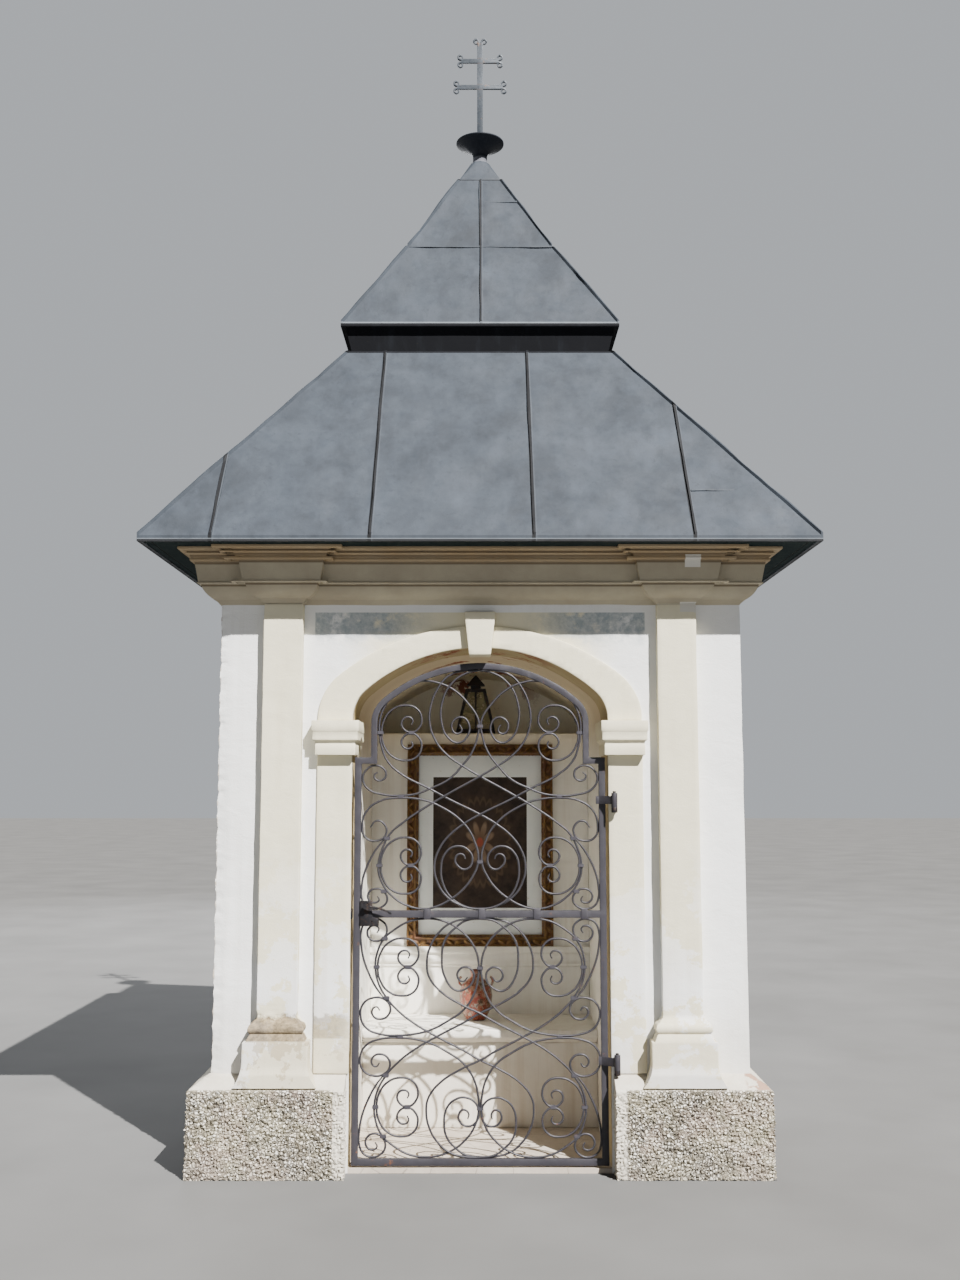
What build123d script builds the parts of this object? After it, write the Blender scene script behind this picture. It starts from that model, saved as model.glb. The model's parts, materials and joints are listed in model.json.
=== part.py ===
from build123d import *
import math
import os

os.makedirs("parts", exist_ok=True)

# Wayside shrine: a hollow masonry chapel, open in front behind a wrought-iron gate,
# under a two-tier sheet-metal pyramid roof with a cross.
# Millimetres. +Z up, +X right, the front looks along -Y.
# The origin is on the ground, at the middle of the square plan.

# Doorway: a three-centred arch on upright jambs
door_width = 1090
springing_height = 1870
arch_rise = 305
arch_end_radius = 160
vault_cover = 120

# The front, from the doorway out to the corner
surround_width = 147
pilaster_gap = 65
pilaster_width = 166
corner_strip = 197

# Masonry body, square in plan
front_wall_thickness = 300
back_wall_thickness = 560
floor_thickness = 20
spandrel_height = 185

# Plinth of coarse render, with a sloped top
plinth_projection = 75
plinth_front_projection = 100
plinth_edge_height = 347
plinth_slope_height = 53
plinth_door_margin = 10

# Painted surround of the doorway
surround_relief = 12
band_rise = 400
band_end_radius = 240
impost_drop = 10
impost_height = 145
impost_overlap = 20
impost_recess = 14
impost_projection = 65
impost_into_opening = 32
impost_depth = 240
keystone_rise = 150
keystone_drop = 34
keystone_top_width = 134
keystone_bottom_width = 92
keystone_projection = 50
keystone_depth = 80

# Pilasters, their bases and pedestals
pilaster_relief = 50
pedestal_height = 140
base_height = 115
base_projection = 40
pedestal_width = 270
pedestal_flare = 38
flare_height = 100
flare_into_plinth = 40
flare_sagitta = 10

# Cornice
cornice_height = 230
cornice_projection = 132

# Lower roof
eave_overhang = 293
soffit_thickness = 20
soffit_setback = 20
eave_drip = 24
lower_roof_rise = 1050
lower_roof_top_half = 632
roof_thickness = 45
seam_width = 12
seam_height = 8

# Neck and upper roof
neck_setback = 14
neck_height = 112
upper_eave_overhang = 22
upper_eave_half = 667
upper_eave_edge = 14
upper_lower_rise = 511
upper_break_half = 367
upper_top_rise = 480
upper_roof_top_half = 109

# Finial and cross
cap_rise = 135
cap_top_half = 48
finial_neck_radius = 38
finial_neck_height = 50
dish_rise = 123
dish_radius = 128
dish_edge = 7
cross_post_width = 31
cross_bar_width = 24
cross_thickness = 12
lower_bar_rise = 321
bar_spacing = 150
post_end = 107
lower_bar_length = 244
upper_bar_length = 202
curl_size = 33
curl_width = 8

# Gate frame
gate_clearance = 12
gate_bottom = 28
gate_depth = 20
gate_recess = 5
stile_width = 28
rail_height = 28
lock_rail_height = 30
lock_rail_centre = 1048
shoulder_drop = 164
shoulder_clearance = 48
gate_arch_drop = 15
gate_arch_rise = 255
gate_arch_end_radius = 130
arch_bar_width = 26

# Scrollwork of the gate
scroll_width = 10
scroll_thickness = 9
scroll_sagitta = 7
scroll_turn_limit = 60
scroll_run = 8
collar_width = 28
collar_height = 17
collar_thickness = 15
rail_collar_lap = 7

# Hinges
hinge_offset = 22
hinge_standoff = 35
pintle_radius = 7
hinge_play = 0.3
pin_rise = 8
knuckle_height = 22
barrel_radius = 13
barrel_height = 60
upper_hinge_drop = 181
lower_hinge_rise = 50
strap_height = 34
strap_thickness = 6
strap_length = 62
strap_knee = 28

# Lock, lever and keeper
lock_width = 78
lock_height = 34
lock_projection = 6
bearing_width = 52
bearing_rise = 41
lever_inset = 26
lever_rise = 19
lever_length = 108
lever_thickness = 12
lever_standoff = 26
spindle_radius = 7
spindle_reach = 3
lever_play = 0.3
keeper_height = 40
keeper_width = 60
keeper_thickness = 5

# Altar and the masonry block behind it
altar_front = 640
altar_height = 402
mensa_thickness = 62
mensa_overhang = 36
reredos_front = 1040
ledge_drop = 20
shelf_rise = 226
shelf_height = 104
shelf_projection = 34

# Picture
picture_width = 730
picture_headroom = 56
picture_frame_width = 57
picture_frame_depth = 40
mat_depth = 12
mat_side = 73
mat_end = 119
print_lift = 11
print_setback = 3

# Jar
jar_x = -20
jar_height = 235
jar_radius = 80
jar_neck_radius = 27
jar_ear_length = 34
jar_ear_thickness = 13
jar_setback = 150

# Lantern
lantern_x = -22
lantern_setback = 150
lantern_half = 100
lantern_shoulder_half = 52
lantern_foot = 12
lantern_body_height = 218
lantern_collar_height = 23
lantern_cap_half = 47
lantern_cap_height = 54
lantern_bar = 9
lantern_glass_thickness = 3

# Widths that follow from the doorway outwards
door_half = door_width / 2
surround_half = door_half + surround_width
pilaster_low = surround_half + pilaster_gap
pilaster_high = pilaster_low + pilaster_width
pilaster_centre = (pilaster_low + pilaster_high) / 2
half_plan = pilaster_high + corner_strip
front_face = -half_plan
niche_front = front_face + front_wall_thickness
niche_back = half_plan - back_wall_thickness
surround_front = front_face - surround_relief
eave_half = half_plan + eave_overhang
far = 2 * eave_half

# Heights that follow from the ground upwards
plinth_top = plinth_edge_height + plinth_slope_height
crown_height = springing_height + arch_rise
cornice_bottom = crown_height + spandrel_height
wall_top = cornice_bottom + cornice_height
eave_height = wall_top + soffit_thickness
lower_roof_top = eave_height + lower_roof_rise
neck_top = lower_roof_top + neck_height
upper_eave = neck_top + upper_eave_edge
upper_break = upper_eave + upper_lower_rise
upper_roof_top = upper_break + upper_top_rise
cap_top = upper_roof_top + cap_rise
dish_top = cap_top + dish_rise
lower_bar_height = dish_top + lower_bar_rise
upper_bar_height = lower_bar_height + bar_spacing
cross_top = upper_bar_height + post_end


def write(node, shape):
    """Write one sub-part."""
    shape.label = node
    export_step(shape, f"parts/{node}.step")


def box(x0, x1, y0, y1, z0, z1):
    """A block between two corners."""
    size = (x1 - x0, y1 - y0, z1 - z0)
    return Pos((x0 + x1) / 2, (y0 + y1) / 2, (z0 + z1) / 2) * Box(*size)


def front_prism(face, y0, y1):
    """Extrude a face drawn in X and Z from y0 back to y1."""
    return extrude(Plane.XZ.offset(-y1) * face, amount=y1 - y0)


def side_prism(face, x0, x1):
    """Extrude a face drawn in Y and Z from x0 to x1."""
    return extrude(Plane.YZ.offset(x0) * face, amount=x1 - x0)


def mirrored(shape):
    """The same piece on the other side of the middle."""
    return mirror(shape, about=Plane.YZ)


def arch_face(half_span, springing, rise, end_radius, bottom):
    """An opening with a three-centred arch, drawn in X and Z."""
    crown_radius = (half_span**2 + rise**2 - 2 * half_span * end_radius) / (2 * (rise - end_radius))
    crown_centre = springing + rise - crown_radius
    end_centre = half_span - end_radius
    reach = crown_radius / math.hypot(end_centre, springing - crown_centre)
    join_x = end_centre * reach
    join_z = crown_centre + (springing - crown_centre) * reach
    middle_angle = math.atan2(join_z - springing, join_x - end_centre) / 2
    end_x = end_centre + end_radius * math.cos(middle_angle)
    end_z = springing + end_radius * math.sin(middle_angle)
    crown = springing + rise
    edges = [
        Line((-half_span, bottom), (half_span, bottom)),
        Line((half_span, bottom), (half_span, springing)),
        ThreePointArc((half_span, springing), (end_x, end_z), (join_x, join_z)),
        ThreePointArc((join_x, join_z), (0, crown), (-join_x, join_z)),
        ThreePointArc((-join_x, join_z), (-end_x, end_z), (-half_span, springing)),
        Line((-half_span, springing), (-half_span, bottom)),
    ]
    return make_face(edges)


def moulding(steps, projection, low, high):
    """Steps of (projection, height, sagitta), each a share, turned into a profile in millimetres."""
    return [(out * projection, low + up * (high - low), sagitta * projection) for out, up, sagitta in steps]


def profile_face(low, high, profile):
    """A face between two moulded edges; a positive sagitta hollows the moulding, a negative one rounds it."""

    def edges(start, sign):
        result = []
        for before, after in zip(profile, profile[1:]):
            a = (start + sign * before[0], before[1])
            b = (start + sign * after[0], after[1])
            if after[2]:
                result.append(SagittaArc(a, b, sign * after[2]))
            else:
                result.append(Line(a, b))
        return result

    bottom = profile[0]
    top = profile[-1]
    closing = [
        Line((low - bottom[0], bottom[1]), (high + bottom[0], bottom[1])),
        Line((low - top[0], top[1]), (high + top[0], top[1])),
    ]
    return make_face(edges(low, -1) + edges(high, 1) + closing)


def moulded_block(x0, x1, y0, y1, profile):
    """A block whose four sides carry one moulding, mitred at the corners."""
    reach = max(step[0] for step in profile) + 1
    along_y = front_prism(profile_face(x0, x1, profile), y0 - reach, y1 + reach)
    along_x = side_prism(profile_face(y0, y1, profile), x0 - reach, x1 + reach)
    return along_y & along_x


def frustum(half_low, z0, half_high, z1):
    """A square frustum about the middle of the plan."""
    reach = max(half_low, half_high)
    outline = Polyline((-half_low, z0), (half_low, z0), (half_high, z1), (-half_high, z1), close=True)
    face = make_face(outline)
    return front_prism(face, -reach, reach) & side_prism(face, -reach, reach)


def seam(start, end, outward):
    """A folded seam that stands on a sheet-metal slope between two points."""
    along = end - start
    plane = Plane(origin=(start + end) / 2, x_dir=along, z_dir=outward)
    return plane * Box(along.length, seam_width, 2 * seam_height)


def tier(half_low, z0, half_high, z1, places):
    """One tier of a pyramid roof with folded hips; places are its seams, as shares of the half width."""
    run = half_low - half_high
    rise = z1 - z0
    hip = (Vector(half_low, -half_low, z0), Vector(half_high, -half_high, z1))
    ribs = [seam(*hip, Vector(rise, -rise, 2 * run))]
    for place in places:
        x = place * half_low
        climb = min((half_low - abs(x)) / run, 1)
        foot = Vector(x, -half_low, z0)
        ribs.append(seam(foot, foot + Vector(0, run, rise) * climb, Vector(0, -rise, run)))
    shape = frustum(half_low, z0, half_high, z1)
    shape = shape.fuse(*[Rot(0, 0, turn) * rib for rib in ribs for turn in (0, 90, 180, 270)])
    return shape & box(-half_low, half_low, -half_low, half_low, z0, z1)


def scroll_path(points):
    """Corners of a forged bar that follows a smooth curve through the points."""
    curve = Spline(*points)
    steps = 60 * len(points)
    step_length = curve.length / steps
    corners = [curve @ 0]
    turned = 0.0
    travelled = 0.0
    heading = curve % 0
    for step in range(1, steps):
        here = curve % (step / steps)
        turned += abs(heading.get_angle(here))
        travelled += step_length
        heading = here
        bulge = travelled * math.radians(turned) / 8
        if bulge >= scroll_sagitta or turned >= scroll_turn_limit:
            corners.append(curve @ (step / steps))
            turned = 0.0
            travelled = 0.0
    corners.append(curve @ 1)
    return corners


def scroll_strips(corners, width):
    """The flat outlines of a bar along its corners, a few corners to each, so that a bar may cross itself."""
    left = []
    right = []
    for index, corner in enumerate(corners):
        before = corners[max(index - 1, 0)]
        after = corners[min(index + 1, len(corners) - 1)]
        along = (after - before).normalized()
        side = Vector(-along.Y, along.X) * (width / 2)
        left.append(corner + side)
        right.append(corner - side)
    faces = []
    for first in range(0, len(corners) - 1, scroll_run):
        last = min(first + scroll_run, len(corners) - 1)
        outline = left[first : last + 1] + right[first : last + 1][::-1]
        faces.append(make_face(Polyline(*outline, close=True)))
    return faces


def bars(paths, width, y0, y1):
    """Forged bars of one thickness."""
    solids = []
    for points in paths:
        solids += [front_prism(face, y0, y1) for face in scroll_strips(scroll_path(points), width)]
    return solids


# Plinth
plinth_steps = [(1, 0, 0), (1, plinth_edge_height / plinth_top, 0), (0, 1, 0)]
plinth_profile = moulding(plinth_steps, plinth_projection, 0, plinth_top)
plinth_front_profile = moulding(plinth_steps, plinth_front_projection, 0, plinth_top)
body_block = box(-half_plan, half_plan, -half_plan, half_plan, 0, wall_top)
plinth_ring = moulded_block(-half_plan, half_plan, -half_plan, half_plan, plinth_profile) - body_block
plinth_reach = half_plan + plinth_projection
front_outline = side_prism(
    profile_face(-half_plan, half_plan, plinth_front_profile), -plinth_reach, plinth_reach
)
front_side = front_prism(
    profile_face(-half_plan, half_plan, plinth_profile), front_face - plinth_front_projection, front_face
)
door_gap = door_half + plinth_door_margin
front_half_plinth = front_outline & front_side & box(door_gap, far, -far, front_face, 0, wall_top)
write("plinth_front_right", front_half_plinth)
write("plinth_front_left", mirrored(front_half_plinth))
right_plinth = plinth_ring & box(half_plan, far, front_face, half_plan, 0, wall_top)
write("plinth_right", right_plinth)
write("plinth_left", mirrored(right_plinth))
write("plinth_back", plinth_ring & box(-far, far, half_plan, far, 0, wall_top))

# Keystone, which is built into the wall over the doorway
door_face = arch_face(door_half, springing_height, arch_rise, arch_end_radius, 0)
keystone_bottom = crown_height - keystone_drop
keystone_top = crown_height + keystone_rise
keystone_face = make_face(
    Polyline(
        (-keystone_bottom_width / 2, keystone_bottom),
        (keystone_bottom_width / 2, keystone_bottom),
        (keystone_top_width / 2, keystone_top),
        (-keystone_top_width / 2, keystone_top),
        close=True,
    )
)
keystone = front_prism(keystone_face, front_face - keystone_projection, front_face + keystone_depth)
write("keystone", keystone)

# Walls, vault and floor
right_pier = box(door_half, half_plan, front_face, niche_front, 0, springing_height)
write("front_pier_right", right_pier)
write("front_pier_left", mirrored(right_pier))
arch_wall = box(-half_plan, half_plan, front_face, niche_front, springing_height, wall_top)
arch_wall -= front_prism(door_face, front_face - 1, niche_front + 1)
write("front_arch_wall", arch_wall - keystone)
right_wall = box(door_half, half_plan, niche_front, half_plan, 0, wall_top)
write("right_wall", right_wall)
write("left_wall", mirrored(right_wall))
write("back_wall", box(-door_half, door_half, niche_back, half_plan, 0, wall_top))
vault = box(-door_half, door_half, niche_front, niche_back, springing_height, crown_height + vault_cover)
write("vault", vault - front_prism(door_face, niche_front - 1, niche_back + 1))
write("floor", box(-door_half, door_half, front_face, niche_back, 0, floor_thickness))

# Painted surround: jambs, imposts and the band round the arch
impost_top = springing_height - impost_drop
impost_bottom = impost_top - impost_height
impost_steps = [(-1, 0, 0), (-1, 0.28, 0), (-0.3, 0.43, 0.4), (-0.3, 0.66, 0), (0, 0.72, 0), (0, 1, 0)]
impost_outer = surround_half + impost_overlap
impost_inner = door_half - impost_into_opening
impost = moulded_block(
    impost_inner,
    impost_outer,
    front_face - impost_projection,
    front_face + impost_depth,
    moulding(impost_steps, impost_recess, impost_bottom, impost_top),
)
impost -= box(door_half, far, front_face, niche_back, 0, wall_top)
jamb = box(door_half, surround_half, surround_front, front_face, plinth_top, impost_bottom)
write("jamb_right", jamb)
write("jamb_left", mirrored(jamb))
band_face = arch_face(surround_half, springing_height, band_rise, band_end_radius, 0)
arch_band = front_prism(band_face - door_face, surround_front, front_face) - keystone
arch_band &= box(-half_plan, half_plan, surround_front, front_face, impost_top, wall_top)
write("arch_band", arch_band)
write("impost_right", impost)
write("impost_left", mirrored(impost))

# Pilasters with base and pedestal
base_bottom = plinth_top + pedestal_height
base_top = base_bottom + base_height
pilaster_front = front_face - pilaster_relief
shaft = box(pilaster_low, pilaster_high, pilaster_front, front_face, base_top, cornice_bottom)
base_steps = [
    (1, 0, 0), (0.75, 0.2, 0), (0.6, 0.27, 0), (0.6, 0.62, -0.25), (0.45, 0.65, 0),
    (0.35, 0.7, 0), (0, 0.93, 0.1), (0, 1, 0),
]
base_profile = moulding(base_steps, base_projection, base_bottom, base_top)
base = moulded_block(pilaster_low, pilaster_high, pilaster_front, half_plan, base_profile)
pedestal_profile = [
    (pedestal_flare, plinth_top - flare_into_plinth, 0),
    (0, plinth_top - flare_into_plinth + flare_height, flare_sagitta),
    (0, base_bottom, 0),
]
pedestal_half = pedestal_width / 2
pedestal = moulded_block(
    pilaster_centre - pedestal_half,
    pilaster_centre + pedestal_half,
    pilaster_front - base_projection,
    half_plan,
    pedestal_profile,
)
in_front = box(0, far, -far, front_face, 0, wall_top)
pilaster = shaft + ((base + pedestal) & in_front) - front_half_plinth - jamb
write("pilaster_right", pilaster)
write("pilaster_left", mirrored(pilaster))

# Cornice, breaking forward over the pilasters
cornice_steps = [
    (0, 0, 0), (0.13, 0.09, 0), (0.53, 0.32, -0.07), (0.53, 0.35, 0), (0.61, 0.36, 0), (0.73, 0.75, 0),
    (0.73, 0.77, 0), (0.79, 0.79, 0), (0.94, 0.92, 0), (1, 0.96, 0), (1, 1, 0),
]
cornice_profile = moulding(cornice_steps, cornice_projection, cornice_bottom, wall_top)
cornice_ring = moulded_block(-half_plan, half_plan, -half_plan, half_plan, cornice_profile)
for centre in (-pilaster_centre, pilaster_centre):
    cornice_ring += moulded_block(
        centre - pilaster_width / 2, centre + pilaster_width / 2, pilaster_front, 0, cornice_profile
    )
cornice_ring -= body_block
write("cornice_front", cornice_ring & box(-far, far, -far, front_face, 0, wall_top))
write("cornice_back", cornice_ring & box(-far, far, half_plan, far, 0, wall_top))
side_cut = box(half_plan, far, front_face, half_plan, 0, wall_top)
write("cornice_right", cornice_ring & side_cut)
write("cornice_left", cornice_ring & mirrored(side_cut))

# Lower roof on its soffit, with a drip edge that hangs just below the boards
soffit_half = eave_half - soffit_setback
soffit = box(-soffit_half, soffit_half, -soffit_half, soffit_half, wall_top, eave_height)
soffit -= box(-door_half, door_half, -door_half, door_half, wall_top - 1, eave_height + 1)
write("soffit", soffit)
slope = math.atan2(lower_roof_rise, eave_half - lower_roof_top_half)
inset = roof_thickness / math.sin(slope)
lower_seams = (-0.785, -0.32, 0.16, 0.63)
lower_roof = tier(eave_half, eave_height, lower_roof_top_half, lower_roof_top, lower_seams)
lower_roof -= frustum(eave_half - inset, eave_height, lower_roof_top_half - inset, lower_roof_top)
drip = box(-eave_half, eave_half, -eave_half, eave_half, eave_height - eave_drip, eave_height)
drip -= box(-soffit_half, soffit_half, -soffit_half, soffit_half, wall_top - eave_drip, eave_height + 1)
write("lower_roof", lower_roof + drip)

# Neck between the two roofs
neck_bottom_half = lower_roof_top_half - neck_setback
neck_top_half = upper_eave_half - upper_eave_overhang
neck = frustum(neck_bottom_half, lower_roof_top, neck_top_half, neck_top)
neck -= frustum(neck_bottom_half - roof_thickness, lower_roof_top, neck_top_half - roof_thickness, neck_top)
write("neck", neck)

# Upper roof, a steep pyramid whose slope breaks at half height
middle_seam = (0.01,)
upper_roof = tier(upper_eave_half, upper_eave, upper_break_half, upper_break, middle_seam)
upper_roof += tier(upper_break_half, upper_break, upper_roof_top_half, upper_roof_top, middle_seam)
upper_roof += box(-upper_eave_half, upper_eave_half, -upper_eave_half, upper_eave_half, neck_top, upper_eave)
hollow = frustum(upper_eave_half - inset, upper_eave, upper_break_half - inset, upper_break)
hollow += frustum(upper_break_half - inset, upper_break, upper_roof_top_half - inset, upper_roof_top)
hollow_half = upper_eave_half - inset
hollow += box(-hollow_half, hollow_half, -hollow_half, hollow_half, neck_top, upper_eave)
write("upper_roof", upper_roof - hollow)

# Finial: a cap that turns the square top into an octagon, and a dish on a trumpet neck
cap = frustum(upper_roof_top_half, upper_roof_top, cap_top_half, cap_top)
corner_half = upper_roof_top_half * math.sqrt(2)
cap &= Rot(0, 0, 45) * frustum(corner_half, upper_roof_top, cap_top_half, cap_top)
write("finial_cap", cap)
dish_bottom = dish_top - dish_edge
flare_bottom = cap_top + finial_neck_height
flare_steps = 3
flare = []
for step in range(flare_steps + 1):
    share = step / flare_steps
    radius = finial_neck_radius + (dish_radius - finial_neck_radius) * share**2
    flare.append((radius, flare_bottom + (dish_bottom - flare_bottom) * share))
dish_outline = [
    (0, cap_top),
    (cap_top_half, cap_top),
    (finial_neck_radius, cap_top + finial_neck_height / 4),
    *flare,
    (dish_radius, dish_top),
    (0, dish_top),
]
dish_face = make_face(Polyline(*dish_outline, close=True))
write("finial_dish", revolve(Plane.XZ * dish_face, Axis.Z))


def curl_paths(tip_x, tip_z, forward_x, forward_z):
    """The two curls that split from the end of a bar, drawn in X and Z."""
    steps = [(-0.18, 0.09), (0.3, 0.24), (0.6, 0.6), (0.42, 0.97), (0.09, 1)]
    paths = []
    for side in (-1, 1):
        path = []
        for ahead, aside in steps:
            x = tip_x + curl_size * (ahead * forward_x - side * aside * forward_z)
            z = tip_z + curl_size * (ahead * forward_z + side * aside * forward_x)
            path.append((x, z))
        paths.append(path)
    return paths


# Cross with two bars; every free end splits into two curls
half_cross = cross_thickness / 2
post = Pos(0, (dish_top + cross_top) / 2) * Rectangle(cross_post_width, cross_top - dish_top)
cross = front_prism(post, -half_cross, half_cross)
curls = curl_paths(0, cross_top, 0, 1)
for bar_height, bar_length in ((lower_bar_height, lower_bar_length), (upper_bar_height, upper_bar_length)):
    arm = Pos(0, bar_height) * Rectangle(bar_length, cross_bar_width)
    cross += front_prism(arm, -half_cross, half_cross)
    for side in (-1, 1):
        curls += curl_paths(side * bar_length / 2, bar_height, side, 0)
write("cross", cross.fuse(*bars(curls, curl_width, -half_cross, half_cross)))

# Gate frame: stiles stepped in at the shoulders, an arched head and a lock rail
gate_half = door_half - gate_clearance
stile_inner = gate_half - stile_width
gate_front = front_face + gate_recess
gate_back = gate_front + gate_depth
shoulder_height = springing_height - shoulder_drop
shoulder_half = impost_inner - shoulder_clearance
gate_springing = springing_height - gate_arch_drop
lock_rail_bottom = lock_rail_centre - lock_rail_height / 2
lock_rail_top = lock_rail_centre + lock_rail_height / 2
rail_top = gate_bottom + rail_height
gate_frame = box(-gate_half, gate_half, gate_front, gate_back, gate_bottom, shoulder_height)
gate_head = arch_face(shoulder_half, gate_springing, gate_arch_rise, gate_arch_end_radius, lock_rail_top)
gate_frame += front_prism(gate_head, gate_front, gate_back)
lower_panel = Pos(0, (rail_top + lock_rail_bottom) / 2) * Rectangle(
    2 * stile_inner, lock_rail_bottom - rail_top
)
shoulder_inner = shoulder_height - rail_height
upper_panel = Pos(0, (lock_rail_top + shoulder_inner) / 2) * Rectangle(
    2 * stile_inner, shoulder_inner - lock_rail_top
)
upper_panel += arch_face(
    shoulder_half - arch_bar_width,
    gate_springing,
    gate_arch_rise - arch_bar_width,
    gate_arch_end_radius - arch_bar_width,
    lock_rail_top,
)
for panel in (lower_panel, upper_panel):
    gate_frame -= front_prism(panel, gate_front - 1, gate_back + 1)

# Lock case under the lock rail, with a bearing plate for the lever above it
lock_left = -stile_inner
lock_front = gate_front - lock_projection
lock_bottom = lock_rail_bottom - lock_height
bearing_right = lock_left + bearing_width
bearing_top = lock_rail_top + bearing_rise
lock_back = gate_back + lock_projection
lever_x = lock_left + lever_inset
lever_height = lock_rail_top + lever_rise
lock_block = box(lock_left, lock_left + lock_width, lock_front, lock_back, lock_bottom, lock_rail_bottom)
lock_block += box(lock_left, bearing_right, lock_front, gate_front, lock_bottom, bearing_top)
spindle_hole = Pos(lever_x, lever_height) * Circle(spindle_radius + lever_play)
write("lock", lock_block - front_prism(spindle_hole, lock_front - 1, lock_back + 1))

# Scrollwork, drawn in millimetres about the crossing in the middle of each panel.
# Both panels have four long bars that end in spirals, and every bar has its mirror image.
# They are stretched with the gate from the size that they are drawn for.
drawn_half_width = 505
drawn_half_height = 488
drawn_upper_reach = 546

scroll_start = [
    (-419, 106), (-432, 121), (-451, 109), (-445, 82), (-415, 71), (-383, 88), (-376, 122), (-403, 153),
    (-451, 157), (-488, 134), (-500, 86), (-476, 36), (-416, 10), (-334, 5), (-264, 12), (-204, 28),
    (-137, 62), (-70, 108), (-25, 174), (-8, 240), (-5, 290), (-22, 361), (-65, 420), (-123, 461),
    (-176, 479), (-225, 483), (-289, 475), (-356, 441), (-409, 393), (-434, 334), (-439, 279),
    (-426, 218), (-395, 163), (-346, 108), (-271, 51), (-167, -7), (-62, -60), (0, -95), (79, -131),
    (171, -190), (215, -248), (223, -299), (211, -364), (170, -430), (122, -466), (59, -482), (0, -483),
    (-62, -474), (-103, -446),
]
lower_end = [
    (-136, -408), (-149, -349), (-136, -285), (-99, -252), (-62, -246), (-21, -266), (-5, -307),
    (-18, -346), (-51, -361), (-84, -342), (-88, -314), (-70, -295), (-47, -310), (-51, -332),
]
upper_end = [
    (-146, -398), (-160, -330), (-146, -240), (-99, -188), (-62, -194), (-27, -234), (-33, -270),
    (-63, -284), (-92, -265), (-92, -238), (-70, -225), (-52, -243),
]
double_scroll = [
    (127, 35), (133, 54), (112, 68), (87, 51), (92, 19), (128, 2), (161, 23), (171, 62), (149, 104),
    (101, 118), (48, 102), (12, 59), (0, 0),
]
corner_length = 327
corner_scroll = [
    (-434, 268), (-426, 287), (-447, 299), (-471, 283), (-469, 251), (-439, 234), (-405, 249), (-392, 287),
    (-413, 318), (-451, 327), (-484, 312), (-500, 276), (-500, 222), (-488, 158), (-462, 92), (-432, 38),
    (-402, 0),
]
head_bar = [
    (-437, 104), (-452, 90), (-441, 71), (-413, 73), (-401, 99), (-419, 125), (-455, 132), (-487, 112),
    (-500, 76), (-478, 34), (-405, 8), (-337, 5),
    (-273, 12), (-209, 36), (-134, 73), (-77, 131), (-36, 186), (-10, 259), (-5, 320), (-53, 400),
    (-112, 456), (-176, 486), (-249, 495), (-316, 473), (-374, 433), (-410, 383), (-429, 327),
    (-430, 269), (-420, 212), (-397, 154), (-337, 97), (-215, 34), (-119, -17), (-21, -64), (68, -114),
    (136, -169), (174, -223), (193, -290), (182, -353), (144, -415), (75, -458), (4, -470),
    (-70, -458), (-125, -420), (-155, -369), (-165, -307), (-148, -240), (-102, -209), (-50, -225),
    (-32, -270), (-59, -305), (-95, -290),
]
head_bar_back = [
    (88, 307), (78, 282), (98, 268), (120, 290), (112, 325), (75, 338), (48, 310), (52, 262), (90, 230),
    (135, 250), (165, 320), (160, 410), (125, 480), (60, 528), (-10, 541), (-60, 541), (-135, 517),
    (-185, 456), (-212, 383), (-216, 319), (-193, 244), (-141, 178), (-68, 127), (-4, 89), (143, 8),
    (255, -59), (323, -106), (378, -152), (411, -211), (430, -290), (418, -353), (367, -420),
    (300, -459), (240, -470), (180, -459), (127, -432), (76, -393), (34, -340), (7, -269), (24, -186),
    (68, -114), (183, -34), (249, -12), (343, -5), (420, -16), (480, -58), (500, -120), (488, -170),
    (440, -186), (400, -160), (405, -118), (440, -102), (466, -130),
]


def mirrored_across(points, middle=0):
    """The same points on the other side of a level line through the middle height."""
    return [(x, 2 * middle - z) for x, z in points]


def paired_scroll(x, z):
    """A double scroll whose two spirals meet, tied to a long bar at a point."""
    half = [(x + along, z + up) for along, up in double_scroll]
    return half + mirrored_across(half[-2::-1], z)


def corner_between(tie_z, end_z):
    """A corner scroll from its tie on a long bar to the rail at the end of the panel."""
    stretch = (end_z - tie_z) / corner_length
    return [(x, tie_z + z * stretch) for x, z in corner_scroll]


lower_bars = [scroll_start + lower_end, mirrored_across(scroll_start + upper_end)]
lower_bars += [paired_scroll(-429, 284), paired_scroll(-429, -284)]
lower_bars += [corner_between(157, 483), corner_between(-157, -483)]
lower_ties = [(-334, 0), (-434, 284), (-434, -284), (-302, 284), (-302, -284), (-392, 157), (-392, -157)]
lower_ties += [(-401, 401), (-401, -401)]
lower_middle_ties = [(0, 280), (0, -290)]
upper_bars = [head_bar, head_bar_back, paired_scroll(-421, 272), paired_scroll(-421, -290)]
upper_bars += [corner_between(-176, -470)]
upper_ties = [(-337, 0), (-426, 272), (-426, -290), (-294, 272), (-294, -290), (-395, -176), (-406, -398)]
upper_middle_ties = [(0, 300), (0, -275)]
scroll_middle = (gate_front + gate_back) / 2


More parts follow.
